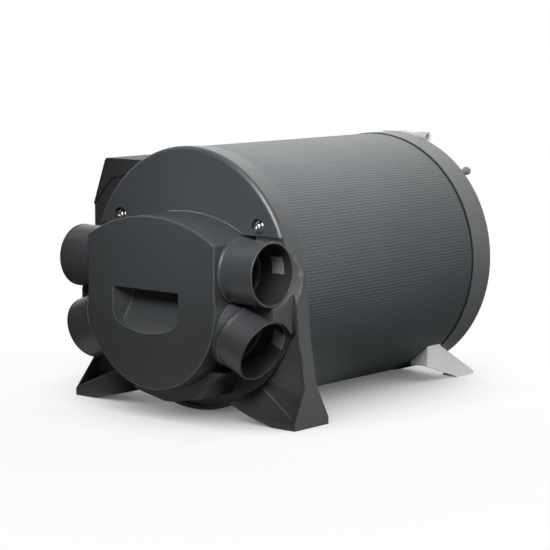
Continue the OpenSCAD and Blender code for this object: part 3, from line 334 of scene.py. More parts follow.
class Workbench:
    """Hand tools that shape a mesh with operators."""

    @staticmethod
    def fresh() -> None:
        """Goes to Object mode with nothing selected, so that an operator acts only on what comes next."""
        if bpy.context.object is not None and bpy.context.object.mode != "OBJECT":
            bpy.ops.object.mode_set(mode="OBJECT")
        bpy.ops.object.select_all(action="DESELECT")

    @staticmethod
    def take(obj: Piece) -> None:
        """Makes a piece the only selected one, in Object mode.

        Args:
            obj: Piece to work on.
        """
        Workbench.fresh()
        obj.select_set(True)
        bpy.context.view_layer.objects.active = obj

    @staticmethod
    def edit(obj: Piece, kind: str = "FACE", action: str = "SELECT") -> None:
        """Opens a piece in Edit mode.

        Args:
            obj: Piece to work on.
            kind: VERT, EDGE or FACE select mode.
            action: What happens to the selection first.
        """
        Workbench.take(obj)
        bpy.ops.object.mode_set(mode="EDIT")
        bpy.ops.mesh.select_mode(type=kind)
        bpy.ops.mesh.select_all(action=action)

    @staticmethod
    def pick_faces(obj: Piece, wanted: Callable[[Vector, Vector], bool]) -> None:
        """Selects faces by their place and normal and leaves the piece in Edit mode.

        Args:
            obj: Piece to work on.
            wanted: Test of a face's centre and normal.
        """
        Workbench.edit(obj, "FACE", "DESELECT")
        bpy.ops.object.mode_set(mode="OBJECT")
        for face in obj.data.polygons:
            face.select = wanted(face.center, face.normal)
        bpy.ops.object.mode_set(mode="EDIT")

    @staticmethod
    def settle(obj: Piece, matrix: Matrix) -> Piece:
        """Puts a piece in place and writes the place into its mesh.

        Args:
            obj: Piece modelled round the origin.
            matrix: Where it belongs.

        Returns:
            The same piece, sitting at the origin.
        """
        Workbench.take(obj)
        obj.matrix_world = matrix
        bpy.ops.object.transform_apply(location=True, rotation=True, scale=True)
        return obj

    @staticmethod
    def trace(name: str, points: Sequence[Point]) -> Piece:
        """Draws a chain of edges by extruding one vertex from point to point.

        Args:
            name: Name of the new piece.
            points: Places along the chain.

        Returns:
            The piece, left in Edit mode with all of it selected.
        """
        Workbench.fresh()
        bpy.ops.mesh.primitive_plane_add(size=SEED_SIZE)
        obj = bpy.context.object
        obj.name = name
        obj.data.name = name
        bpy.ops.object.mode_set(mode="EDIT")
        bpy.ops.mesh.select_mode(type="VERT")
        bpy.ops.mesh.select_all(action="SELECT")
        bpy.ops.mesh.merge(type="CENTER")
        bpy.ops.transform.translate(value=points[0])
        for start, end in zip(points, points[1:]):
            step = Vector(end) - Vector(start)
            bpy.ops.mesh.extrude_vertices_move(TRANSFORM_OT_translate={"value": step})
        bpy.ops.mesh.select_all(action="SELECT")
        return obj

    @staticmethod
    def rod(name: str, points: Sequence[Point], radius: float) -> Piece:
        """Draws a thin round rod along a chain of points.

        Args:
            name: Name of the new piece.
            points: Places along the rod.
            radius: Half its thickness.

        Returns:
            The finished piece.
        """
        Workbench.trace(name, points)
        bpy.ops.object.mode_set(mode="OBJECT")
        bpy.ops.object.convert(target="CURVE")
        line = bpy.context.object.data
        line.bevel_depth = radius
        line.bevel_resolution = 2
        line.use_fill_caps = True
        bpy.ops.object.convert(target="MESH")
        bpy.ops.object.shade_smooth_by_angle(angle=math.radians(SMOOTH_BELOW))
        return bpy.context.object

    @staticmethod
    def spun(name: str, points: Sequence[Point], axis: Point, steps: int,
             angle: float = 2.0 * math.pi, weld: float = WELD) -> Piece:
        """Spins a chain of points round an axis through the origin.

        Args:
            name: Name of the new piece.
            points: Places along the section.
            axis: Direction of the axis.
            steps: Facets round the axis.
            angle: How far it turns, in radians.
            weld: Vertices closer than this are joined.

        Returns:
            The piece, left in Edit mode with all of it selected.
        """
        obj = Workbench.trace(name, points)
        bpy.ops.mesh.spin(steps=steps, angle=angle, center=ORIGIN, axis=axis)
        bpy.ops.mesh.select_all(action="SELECT")
        bpy.ops.mesh.remove_doubles(threshold=weld)
        return obj

    @staticmethod
    def turned(name: str, profile: Profile, matrix: Matrix, steps: int, edge: float) -> Piece:
        """Turns a closed profile round an axis, as on a lathe.

        Args:
            name: Name of the new piece.
            profile: Radius and height pairs round the section.
            matrix: Frame whose Z axis is the axis of the piece.
            steps: Facets round the axis.
            edge: Width of the rounded edges.

        Returns:
            The finished piece.
        """
        section = [(r, 0.0, h) for r, h in (*profile, profile[0])]
        obj = Workbench.spun(name, section, UPWARD, steps, weld=LATHE_WELD)
        bpy.ops.mesh.normals_make_consistent(inside=False)
        bpy.ops.object.mode_set(mode="OBJECT")
        Workbench.soften(obj, edge)
        return Workbench.settle(obj, matrix)

    @staticmethod
    def soften(obj: Piece, width: float, segments: int = 3) -> None:
        """Rounds the sharp edges and shades the rest smooth.

        Args:
            obj: Piece to work on.
            width: Width of the rounding.
            segments: Steps across the rounding.
        """
        Workbench.take(obj)
        bevel = obj.modifiers.new("rounded_edges", "BEVEL")
        bevel.limit_method = "ANGLE"
        bevel.angle_limit = math.radians(ROUND_ABOVE)
        bevel.width = width
        bevel.segments = segments
        bevel.use_clamp_overlap = True
        bevel.harden_normals = False
        bpy.ops.object.modifier_apply(modifier=bevel.name)
        bpy.ops.object.shade_smooth_by_angle(angle=math.radians(SMOOTH_BELOW))
        weights = obj.modifiers.new("flat_faces", "WEIGHTED_NORMAL")
        weights.keep_sharp = True
        bpy.ops.object.modifier_apply(modifier=weights.name)

    @staticmethod
    def round_edges(obj: Piece, wanted: Callable[[Vector], bool], width: float) -> int:
        """Rounds the edges whose two ends both pass a test.

        Args:
            obj: Piece to work on.
            wanted: Test of an end's place.
            width: Width of the rounding.

        Returns:
            How many edges were rounded.
        """
        Workbench.edit(obj, "EDGE", "DESELECT")
        bpy.ops.object.mode_set(mode="OBJECT")
        count = 0
        for edge in obj.data.edges:
            ends = [obj.data.vertices[i].co for i in edge.vertices]
            edge.select = all(wanted(end) for end in ends)
            count += int(edge.select)
        bpy.ops.object.mode_set(mode="EDIT")
        bpy.ops.mesh.bevel(offset=width, segments=WIDE_SEGMENTS, profile=0.5, clamp_overlap=True)
        bpy.ops.object.mode_set(mode="OBJECT")
        return count

    @staticmethod
    def softened_copy(node: str, width: float, segments: int = 2,
                      wide: Sequence[Tuple[Callable[[Vector], bool], float]] = ()) -> Piece:
        """Copies a solid, joins its triangles into faces and rounds its edges.

        Args:
            node: Name of the solid.
            width: Width of the rounding.
            segments: Steps across the rounding.
            wide: Tests of the edges that are rounded more, each with its width.

        Returns:
            The new piece.
        """
        Workbench.take(frame["nodes"][node])
        bpy.ops.object.duplicate()
        obj = bpy.context.object
        for key in [k for k in obj.keys() if k.startswith("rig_")]:
            del obj[key]
        bpy.ops.object.parent_clear(type="CLEAR_KEEP_TRANSFORM")
        obj.name = node + "_dressed"
        obj.data.name = obj.name
        Workbench.edit(obj, "FACE")
        bpy.ops.mesh.customdata_custom_splitnormals_clear()
        bpy.ops.mesh.remove_doubles(threshold=SOLID_WELD)
        bpy.ops.mesh.dissolve_limited(angle_limit=math.radians(FLAT_WITHIN))
        bpy.ops.object.mode_set(mode="OBJECT")
        for wanted, more in wide:
            count = Workbench.round_edges(obj, wanted, more)
            LOG.info("%s: %d edges rounded %.1f mm", node, count, more * 1000.0)
        Workbench.soften(obj, width, segments)
        return obj


def along_y(x: float, y: float, z: float) -> Matrix:
    """Frame at a point with its Z axis along the drum.

    Args:
        x: Place to the right.
        y: Place along the drum.
        z: Height.

    Returns:
        The frame.
    """
    return Matrix.Translation((x, y, z)) @ Matrix.Rotation(-math.pi / 2, 4, "X")


def arc(centre: Flat, radius: float, start: float, sweep: float, steps: int) -> List[Flat]:
    """Points along an arc, both ends included.

    Args:
        centre: Middle of the arc.
        radius: Its radius.
        start: Angle of its first point, in degrees.
        sweep: Angle from there to its last point, in degrees.
        steps: Number of chords.

    Returns:
        The points in order.
    """
    points = []
    for step in range(steps + 1):
        angle = math.radians(start + sweep * step / steps)
        points.append((centre[0] + radius * math.cos(angle), centre[1] + radius * math.sin(angle)))
    return points


def band(inner: float, outer: float, low: float, high: float) -> Profile:
    """Section of a plain ring.

    Args:
        inner: Inner radius.
        outer: Outer radius.
        low: Height of the lower side.
        high: Height of the upper side.

    Returns:
        The four corners in order.
    """
    return [(inner, low), (outer, low), (outer, high), (inner, high)]


def dress(obj: Piece, slot: str, *nodes: str, body: str = ROOT, finish: str = "") -> None:
    """Gives a new piece its finish and its body.

    Args:
        obj: Piece in its place.
        slot: Material slot of the record.
        nodes: Solids that the piece stands for.
        body: Body that carries it.
        finish: Finish that differs from the slot's own.
    """
    obj.data.materials.clear()
    obj.data.materials.append(FINISHES[finish or slot].material())
    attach(obj, body)
    if nodes:
        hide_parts(*nodes)
    LOG.info("%s: %d faces, %s", obj.name, len(obj.data.polygons), slot)


def finish_solids() -> None:
    """Gives every solid the finish of its slot. Those that no piece replaces keep their own shape."""
    subparts = frame["record"]["subparts"]
    for part in subparts:
        node = frame["nodes"][part["node"]]
        node.data.materials.clear()
        node.data.materials.append(FINISHES[part["material_slot"]].material())
    LOG.info("finished %d solids", len(subparts))


@dataclass
class Drum:
    """The ribbed casing between the covers."""

    ribs: int = 248
    ridge: float = 0.0009
    groove: float = 0.00024
    wall: float = 0.0025
    smooth_below: float = 12.0

    def build(self) -> None:
        """Makes the casing from a many-sided tube whose sides are inset and pressed in."""
        Workbench.fresh()
        bpy.ops.mesh.primitive_cylinder_add(
            vertices=self.ribs, radius=DRUM_R, depth=DRUM_REAR - DRUM_FRONT, end_fill_type="NOTHING",
            location=(0.0, (DRUM_FRONT + DRUM_REAR) / 2, AXIS_Z), rotation=(-math.pi / 2, 0.0, 0.0))
        casing = bpy.context.object
        casing.name = "ribbed_casing"
        casing.data.name = casing.name
        bpy.ops.object.transform_apply(location=True, rotation=True, scale=True)
        Workbench.edit(casing, "FACE")
        bpy.ops.mesh.inset(thickness=self.ridge, use_individual=True)
        bpy.ops.transform.shrink_fatten(value=-self.groove)
        bpy.ops.object.mode_set(mode="OBJECT")
        wall = casing.modifiers.new("sheet", "SOLIDIFY")
        wall.thickness = self.wall
        wall.offset = -1.0
        bpy.ops.object.modifier_apply(modifier=wall.name)
        bpy.ops.object.shade_smooth_by_angle(angle=math.radians(self.smooth_below))
        dress(casing, "drum_paint", "drum_casing")


@dataclass
class OutletEnd:
    """Front cover, manifold, duct sockets and the two cover screws."""

    cover_edge: float = 0.0010
    manifold_edge: float = 0.0012
    face_edge: float = 0.0022
    face_within: float = 2e-5
    grip_x: float = -0.0065
    grip_half: float = 0.0510
    grip_span: Flat = (0.090, 0.146)
    upper_base: Point = (0.0950, -0.022, 0.1675)
    lower_base: Point = (0.0960, -0.022, 0.0983284)
    upper_length: float = 0.048
    lower_length: float = 0.037
    tilt: float = 22.5
    bore: float = 0.033
    wall: float = 0.002
    seat: float = 0.0003
    ledge: float = 0.003
    plug_gap: float = 0.0005
    plug_depth: float = 0.005
    collar: float = 0.0015
    collar_top: float = 0.0042
    lip: float = 0.0004
    lip_root: float = 0.0045
    lip_edge: float = 0.0038
    socket_edge: float = 0.0007
    facets: int = 96
    stop_in: float = 0.0031
    stop_width: float = 0.0009
    stop_span: Flat = (0.0022, 0.0034)
    stop_edge: float = 0.0003
    painted_shade_skin: float = 0.00008
    painted_shade_low: float = 0.0035
    painted_shade_high: float = 0.001
    painted_shade_edge: float = 0.00002
    pad_low: float = 0.020
    pad_ribs: int = 10
    pad_pitch: float = 0.0016
    pad_heights: Sequence[float] = (0.0, 0.0004, 0.0010, 0.0014)
    pad_root: float = 0.0001
    pad_crest: float = 0.0004
    pad_sunk: float = 0.0003
    pad_sheet: float = 0.0003
    pad_sweep: float = 34.0
    pad_turn: float = 45.0
    pad_steps: int = 12
    screw_x: float = 0.103
    screw_z: float = 0.2140
    screw_facets: int = 36
    screw_edge: float = 0.0003
    screw_profile: Profile = (
        (0.0, 0.0449), (0.0025, 0.0449), (0.0025, 0.0050), (0.0064, 0.0050), (0.0064, 0.0031),
        (0.0048, 0.0039), (0.0046, 0.0036), (0.0046, 0.0012), (0.0042, 0.0001), (0.0034, -0.0006),
        (0.0024, -0.0010), (0.0014, -0.0010), (0.0012, 0.0006), (0.0, 0.0006),
    )

    def build(self) -> None:
        """Makes the pieces of the outlet end."""
        dress(Workbench.softened_copy("front_cover", self.cover_edge, 3), "charcoal_plastic", "front_cover")
        wide = [(self._on_face_edge, self.face_edge)]
        manifold = Workbench.softened_copy("air_manifold", self.manifold_edge, 3, wide)
        dress(manifold, "charcoal_plastic", "air_manifold")
        for side, word in SIDES:
            self._socket("upper_" + word, self._frame(self.upper_base, side, 0.0), self.upper_length)
            self._socket("lower_" + word, self._frame(self.lower_base, side, self.tilt), self.lower_length)
        self._screws()

    def _on_face_edge(self, end: Vector) -> bool:
        """Tells the outline of the manifold's face, without the finger grip.

        Args:
            end: Place of an edge's end.

        Returns:
            True on the outline.
        """
        low, high = self.grip_span
        in_grip = abs(end.x - self.grip_x) < self.grip_half and low < end.z < high
        return abs(end.y - FACE_Y) < self.face_within and not in_grip

    @staticmethod
    def _frame(base: Point, side: float, tilt: float) -> Matrix:
        """Frame at a socket's base, its Z axis out of the mouth.

        Args:
            base: Middle of the base on the right side.
            side: 1 for right, -1 for left.
            tilt: Downward tilt in degrees.

        Returns:
            The frame.
        """
        turn = Matrix.Rotation(side * math.radians(90.0 + tilt), 4, "Y")
        return Matrix.Translation((side * base[0], base[1], base[2])) @ turn

    def _socket(self, place: str, matrix: Matrix, length: float) -> None:
        """Turns one duct socket with its plug, collar and lip, a lighter ring at its stop as a painted
        highlight, and a thin black sleeve in its bore as painted shade.

        Args:
            place: Which of the four it is.
            matrix: Frame at its base.
            length: Length from base to mouth.
        """
        low = self.seat
        top = low + length
        foot = low - self.plug_depth
        shelf = low + self.ledge
        neck = self.bore - self.ledge
        plug = self.bore - self.plug_gap
        outer = self.bore + self.wall
        collar = outer + self.collar
        lip = outer + self.lip
        profile = [
            (neck, foot), (plug, foot), (plug, low),
            (collar, low), (collar, shelf), (outer, low + self.collar_top),
            (outer, top - self.lip_root), (lip, top - self.lip_edge), (lip, top),
            (self.bore, top), (self.bore, shelf), (neck, shelf),
        ]
        name = "duct_socket_" + place
        socket = Workbench.turned(name + "_dressed", profile, matrix, self.facets, self.socket_edge)
        dress(socket, "charcoal_plastic", name)
        # The ring at the stop's edge takes the pads' lighter grey as a painted highlight line.
        edge = self.bore - self.stop_in
        stop = band(edge, edge + self.stop_width, *[low + height for height in self.stop_span])
        ring = Workbench.turned("duct_stop_highlight_" + place, stop, matrix, self.facets, self.stop_edge)
        dress(ring, "grey_plastic", finish="duct_pad")
        # A thin black sleeve on the bore's inner wall is painted shade: it darkens the inside of the duct,
        # where only shade falls.
        skin = band(self.bore - self.painted_shade_skin, self.bore, low + self.painted_shade_low, top - self.painted_shade_high)
        shade_sleeve = Workbench.turned("duct_painted_shade_" + place, skin, matrix, self.facets, self.painted_shade_edge)
        dress(shade_sleeve, "black_plastic")
        self._grip_pad(place, matrix, low + self.pad_low)

    def _grip_pad(self, place: str, matrix: Matrix, start: float) -> None:
        """Spins the finely ribbed pad that holds a duct in its socket.

        Args:
            place: Which socket it belongs to.
            matrix: Frame at the socket's base.
            start: Height of the pad's lower edge above the base.
        """
        crest = self.bore - self.pad_crest
        root = self.bore - self.pad_root
        sunk = self.bore + self.pad_sunk
        rib = list(zip((root, crest, crest, root), self.pad_heights))
        points = [(sunk, 0.0, start)]
        for number in range(self.pad_ribs):
            low = start + number * self.pad_pitch
            points += [(r, 0.0, low + height) for r, height in rib]
        points.append((sunk, 0.0, start + self.pad_ribs * self.pad_pitch))
        sweep = math.radians(self.pad_sweep)
        pad = Workbench.spun("duct_pad_" + place, points, UPWARD, self.pad_steps, sweep)
        bpy.ops.object.mode_set(mode="OBJECT")
        sheet = pad.modifiers.new("thickness", "SOLIDIFY")
        sheet.thickness = self.pad_sheet
        bpy.ops.object.modifier_apply(modifier=sheet.name)
        side = 1.0 if place.endswith("right") else -1.0
        turn = math.radians(90.0 + side * self.pad_turn) - sweep / 2.0
        Workbench.settle(pad, matrix @ Matrix.Rotation(turn, 4, "Z"))
        dress(pad, "grey_plastic", finish="duct_pad")

    def _screws(self) -> None:
        """Turns a cover screw with its flanged head and round drive, and copies it to the other side."""
        name = "cover_screw_right"
        place = along_y(self.screw_x, 0.0, self.screw_z)
        head = Workbench.turned(name, self.screw_profile, place, self.screw_facets, self.screw_edge)
        Workbench.take(head)
        bpy.ops.object.duplicate()
        twin = bpy.context.object
        twin.name = "cover_screw_left"
        Workbench.settle(twin, Matrix.Translation((-2.0 * self.screw_x, 0.0, 0.0)))
        dress(head, "bright_steel", "cover_screws")
        dress(twin, "bright_steel")


@dataclass
class FrontTrim:
    """Thin beads on the manifold and its finger grip, and fine ribs on the front legs; the lighter grey beads
    and the long leg rib are painted highlight lines along edges.
    """

    thin: float = 0.0005
    crown_centre: float = 0.0400
    crown_r: float = 0.1847
    crown_half: float = 26.6
    crown_y: float = -0.0011
    crown_size: float = 0.00105
    crown_steps: int = 72
    long_rib: Sequence[Point] = ((0.0985, 0.0103, 0.0392), (0.1575, -0.0087, 0.0125))
    short_rib: Sequence[Point] = ((0.1088, 0.0042, 0.0306), (0.1370, -0.0112, 0.0068))
    long_rib_size: float = 0.0008
    rim_y: float = -0.0605
    grip_left: float = -0.0560
    grip_top: float = 0.1425
    corner: Flat = (-0.0400, 0.1171)
    corner_r: float = 0.016
    corner_sweep: float = 66.2
    bottom: Flat = (-0.0065, 0.1930)
    bottom_r: float = 0.099
    bottom_sweep: float = 47.6
    hollow_y: float = -0.1017
    hollow_z: float = 0.143
    hollow_r: float = 0.0637
    hollow_step: float = 0.0045
    hollow_points: int = 9
    wall_slope: float = 10.0 / 23.0
    inner_lift: float = 0.0003
    inner_size: float = 0.0004
    face_side: float = 0.0950
    face_top: float = 0.1955
    face_z: float = 0.1280
    face_r: float = 0.0955
    face_inset: float = 0.0009
    face_sweep: float = -72.0

    def build(self) -> None:
        """Makes the beads and ribs."""
        self._crown_highlight_bead()
        self._leg_ribs()
        self._grip_rim_highlight()
        self._grip_corner_highlight()
        self._face_highlight_bead()

    def _crown_highlight_bead(self) -> None:
        """Spins the thin rounded bead where the manifold's crown meets the cover plate, in lighter grey as a
        painted highlight line along that seam.
        """
        section = arc((self.crown_y, self.crown_r), self.crown_size, 0.0, 360.0, 12)
        points = [(0.0, y, z) for y, z in section]
        half = math.radians(self.crown_half)
        bead = Workbench.spun("crown_highlight_bead", points, BACKWARD, self.crown_steps, 2.0 * half)
        bpy.ops.mesh.normals_make_consistent(inside=False)
        bpy.ops.object.mode_set(mode="OBJECT")
        bpy.ops.object.shade_smooth()
        lowest = min(math.atan2(v.co.x, v.co.z) for v in bead.data.vertices)
        turn = Matrix.Rotation(-half - lowest, 4, "Y")
        Workbench.settle(bead, Matrix.Translation((0.0, 0.0, self.crown_centre)) @ turn)
        dress(bead, "grey_plastic")

    def _leg_ribs(self) -> None:
        """Lays the two fine ribs on the sloping front of each leg; the long one is lighter grey as a painted
        highlight, and the short one keeps the leg's charcoal.
        """
        for side, word in SIDES:
            long_rib = [(side * x, y, z) for x, y, z in self.long_rib]
            dress(Workbench.rod("leg_rib_long_highlight_" + word, long_rib, self.long_rib_size), "grey_plastic")
            short_rib = [(side * x, y, z) for x, y, z in self.short_rib]
            dress(Workbench.rod("leg_rib_short_" + word, short_rib, self.thin), "charcoal_plastic")

    def _grip_rim_highlight(self) -> None:
        """Lays a thin lighter grey bead along the grip's left and lower edge as a painted highlight line."""
        rim = [(self.grip_left, self.grip_top)]
        rim += arc(self.corner, self.corner_r, 180.0, self.corner_sweep, 5)
        rim += arc(self.bottom, self.bottom_r, 180.0 + self.corner_sweep, self.bottom_sweep, 12)[1:]
        points = [(x, self.rim_y, z) for x, z in rim]
        dress(Workbench.rod("grip_rim_highlight_bead", points, self.thin), "grey_plastic")

    def _grip_corner_highlight(self) -> None:
        """Lays a thin lighter grey bead in the grip's left inner corner, down the curve of its hollow, as a
        painted highlight line.
        """
        points = []
        for step in range(self.hollow_points):
            z = self.grip_top - self.hollow_step * step
            y = self.hollow_y + math.sqrt(self.hollow_r ** 2 - (self.hollow_z - z) ** 2)
            x = self.grip_left + self.wall_slope * (y - FACE_Y)
            points.append((x + self.inner_lift, y - self.inner_lift, z))
        dress(Workbench.rod("grip_inner_highlight_bead", points, self.inner_size), "grey_plastic")

    def _face_highlight_bead(self) -> None:
        """Lays a thin lighter grey bead in the rounded right and lower edge of the manifold's face as a
        painted highlight line.
        """
        right = self.face_side - self.face_inset
        edge = [(right, self.face_top), (right, self.face_z)]
        edge += arc((0.0, self.face_z), self.face_r - self.face_inset, 0.0, self.face_sweep, 18)[1:]
        points = [(x, FACE_Y + self.face_inset, z) for x, z in edge]
        dress(Workbench.rod("face_highlight_bead", points, self.thin), "grey_plastic")


@dataclass
class RearEnd:
    """Rear ring and plate, seal, motor cap, hose peg, brackets and fittings."""

    ring_r: float = 0.1475
    ring_wall: float = 0.003
    ring_edge: float = 0.0012
    spigot_in: float = 0.1402
    spigot_r: float = 0.1432
    spigot_depth: float = 0.0118
    intake_r: float = 0.104
    seal_in: float = 0.1441
    seal_r: float = 0.1470
    seal_gap: float = 0.0001
    seal_edge: float = 0.0004
    facets: int = 160
    cap_r: float = 0.056
    cap_front: float = 0.3814
    cap_rear: float = 0.4491
    cap_shoulder: Profile = ((0.012, 0.0), (0.003, 0.009), (0.0, 0.016))
    cap_hollow: Profile = ((0.0025, 0.0165), (0.014, 0.003))
    cap_rings: Sequence[float] = (0.030, 0.008)
    cap_facets: int = 72
    cap_edge: float = 0.0008
    slot_span: Flat = (0.390, 0.410)
    slot_within: float = 0.001
    slot_inset: float = 0.0006
    slot_depth: float = 0.0012
    peg_x: float = 0.1016
    peg_z: float = 0.2511
    peg_facets: int = 32
    peg_edge: float = 0.0004
    peg_profile: Profile = (
        (0.0, -0.003), (0.0023, -0.003), (0.0023, 0.0), (0.0032, 0.0), (0.0030, 0.0100), (0.0050, 0.0105),
        (0.0050, 0.0150), (0.0040, 0.0160), (0.0, 0.0160),
    )
    small: Sequence[Tuple[str, float]] = (
        ("rear_bracket_right", 0.0005), ("rear_bracket_left", 0.0005),
        ("hot_water_union", 0.0008), ("cold_water_union", 0.0008),
        ("gas_valve", 0.0012), ("gas_inlet", 0.0004),
        ("flue_spigot", 0.0004), ("air_spigot", 0.0006), ("cable_glands", 0.0006),
        ("bracket_screws", 0.0003), ("grille_screws", 0.0003),
    )

    def build(self) -> None:
        """Makes the pieces of the rear end."""
        self._ring()
        self._seal()
        self._cap()
        self._peg()
        slots = {part["node"]: part["material_slot"] for part in frame["record"]["subparts"]}
        for node, edge in self.small:
            finish = "pale_fitting" if node == "hot_water_union" else ""
            dress(Workbench.softened_copy(node, edge), slots[node], node, finish=finish)

    def _ring(self) -> None:
        """Turns the rear ring with its plate and the spigot inside the drum."""
        depth = REAR - RING_FRONT
        plate = depth - self.ring_wall
        inner = self.ring_r - self.ring_wall
        profile = [
            (self.spigot_in, -self.spigot_depth), (self.spigot_r, -self.spigot_depth), (self.spigot_r, 0.0),
            (self.ring_r, 0.0), (self.ring_r, depth), (self.intake_r, depth), (self.intake_r, plate),
            (inner, plate), (inner, self.ring_wall), (self.spigot_in, self.ring_wall),
        ]
        place = along_y(0.0, RING_FRONT, AXIS_Z)
        ring = Workbench.turned("rear_ring", profile, place, self.facets, self.ring_edge)
        dress(ring, "grey_plastic", "rear_cover")

    def _seal(self) -> None:
        """Turns the black seal that stands a little proud between the drum and the ring."""
        depth = RING_FRONT - DRUM_REAR
        profile = band(self.seal_in, self.seal_r, self.seal_gap, depth - self.seal_gap)
        place = along_y(0.0, DRUM_REAR, AXIS_Z)
        seal = Workbench.turned("rear_seal_dressed", profile, place, self.facets, self.seal_edge)
        dress(seal, "rubber", "rear_seal")

    def _in_slot(self, centre: Vector, normal: Vector) -> bool:
        """Tells the outer faces of the motor cap that become cooling slots.

        Args:
            centre: Middle of a face.
            normal: Its direction.

        Returns:
            True on every second face round the cap's side.
        """
        spoke = Vector((centre.x, 0.0, centre.z - AXIS_Z))
        step = int(round(math.degrees(math.atan2(spoke.x, spoke.z)) / (360.0 / self.cap_facets)))
        low, high = self.slot_span
        outside = spoke.length > self.cap_r - self.slot_within and normal.dot(spoke) > 0.0
        return low < centre.y < high and outside and step % 2 == 0

    def _cap(self) -> None:
        """Turns the motor cap, with a ring of edges at both ends of its slots, and presses the slots in."""
        r = self.cap_r
        length = self.cap_rear - self.cap_front
        shoulder = [(r - inward, length - down) for inward, down in self.cap_shoulder]
        rings = [(r, height) for height in self.cap_rings]
        hollow = [(r - inward, length - down) for inward, down in self.cap_hollow]
        wall = hollow[0][0]
        under = hollow[-1][1]
        profile = [(0.0, length), *shoulder, *rings, (r, 0.0), (wall, 0.0), *hollow, (0.0, under)]
        place = along_y(0.0, self.cap_front, AXIS_Z)
        cap = Workbench.turned("motor_cap_dressed", profile, place, self.cap_facets, self.cap_edge)
        Workbench.pick_faces(cap, self._in_slot)
        bpy.ops.mesh.inset(thickness=self.slot_inset, use_individual=True)
        bpy.ops.transform.shrink_fatten(value=-self.slot_depth)
        bpy.ops.object.mode_set(mode="OBJECT")
        dress(cap, "black_plastic", "motor_cap")

    def _peg(self) -> None:
        """Turns the hose peg on the ring's rear edge."""
        place = along_y(self.peg_x, REAR, self.peg_z)
        name = "hose_peg_dressed"
        peg = Workbench.turned(name, self.peg_profile, place, self.peg_facets, self.peg_edge)
        dress(peg, "grey_plastic", "hose_peg", finish="peg_grey")


@dataclass
class SideHousings:
    """Electronics housing with its lid, seal and button, and the flue housing."""

    edge: float = 0.0016
    button_edge: float = 0.0006
    corner_edge: float = 0.0035
    corner_x: float = -0.2440
    corner_z: float = 0.2655
    box_front: float = 0.1199
    box_rear: float = 0.2781
    seam: Sequence[Flat] = ((-0.1075, 0.2503), (-0.1980, 0.2503), (-0.2357, 0.2404), (-0.2649, 0.2083))
    seam_size: float = 0.0007

    def build(self) -> None:
        """Rounds the edges of the housings and the button, and lays a thin dark rod along the parting line
        under the lid.
        """
        base = Workbench.softened_copy("electronics_base", self.edge)
        dress(base, "charcoal_plastic", "electronics_base", finish="box_plastic")
        wide = [(self._on_lid_corner, self.corner_edge)]
        lid = Workbench.softened_copy("electronics_lid", self.edge, 2, wide)
        dress(lid, "charcoal_plastic", "electronics_lid", body="lid", finish="box_plastic")
        seal = [(x, self.box_front, z) for x, z in self.seam]
        seal += [(x, self.box_rear, z) for x, z in reversed(self.seam)]
        dress(Workbench.rod("lid_parting_line", seal, self.seam_size), "rubber")
        flue = Workbench.softened_copy("flue_housing", self.edge)
        dress(flue, "charcoal_plastic", "flue_housing", finish="box_plastic")
        button = Workbench.softened_copy("reset_button", self.button_edge)
        dress(button, "red_plastic", "reset_button", body="button")

    def _on_lid_corner(self, end: Vector) -> bool:
        """Tells the long outer corner of the lid's top.

        Args:
            end: Place of an edge's end.

        Returns:
            True on that corner.
        """
        return end.x < self.corner_x and end.z > self.corner_z


def aim(name: str, data: Union[bpy.types.Light, bpy.types.Camera], place: Point, target: Point) -> Piece:
    """Adds a light or a camera to the scene and turns it to a point.

    Args:
        name: Name of the new object.
        data: Its light or camera.
        place: Where it stands.
        target: What it looks at.

    Returns:
        The new object.
    """
    obj = bpy.data.objects.new(name, data)
    obj.location = place
    obj.rotation_euler = (Vector(target) - Vector(place)).to_track_quat("-Z", "Y").to_euler()
    bpy.context.scene.collection.objects.link(obj)
    return obj


@dataclass(frozen=True)
class Softbox:
    """One studio light, square or taller than wide."""

    name: str
    place: Point
    target: Point
    size: float
    power: float
    spread: float = 180.0
    tall: float = 0.0

    def hang(self) -> None:
        """Adds the light to the scene."""
        lamp = bpy.data.lights.new(self.name, "AREA")
        lamp.shape = "RECTANGLE" if self.tall else "SQUARE"
        lamp.size = self.size
        if self.tall:
            lamp.size_y = self.tall
        lamp.energy = self.power
        lamp.spread = math.radians(self.spread)
        aim(self.name, lamp, self.place, self.target)


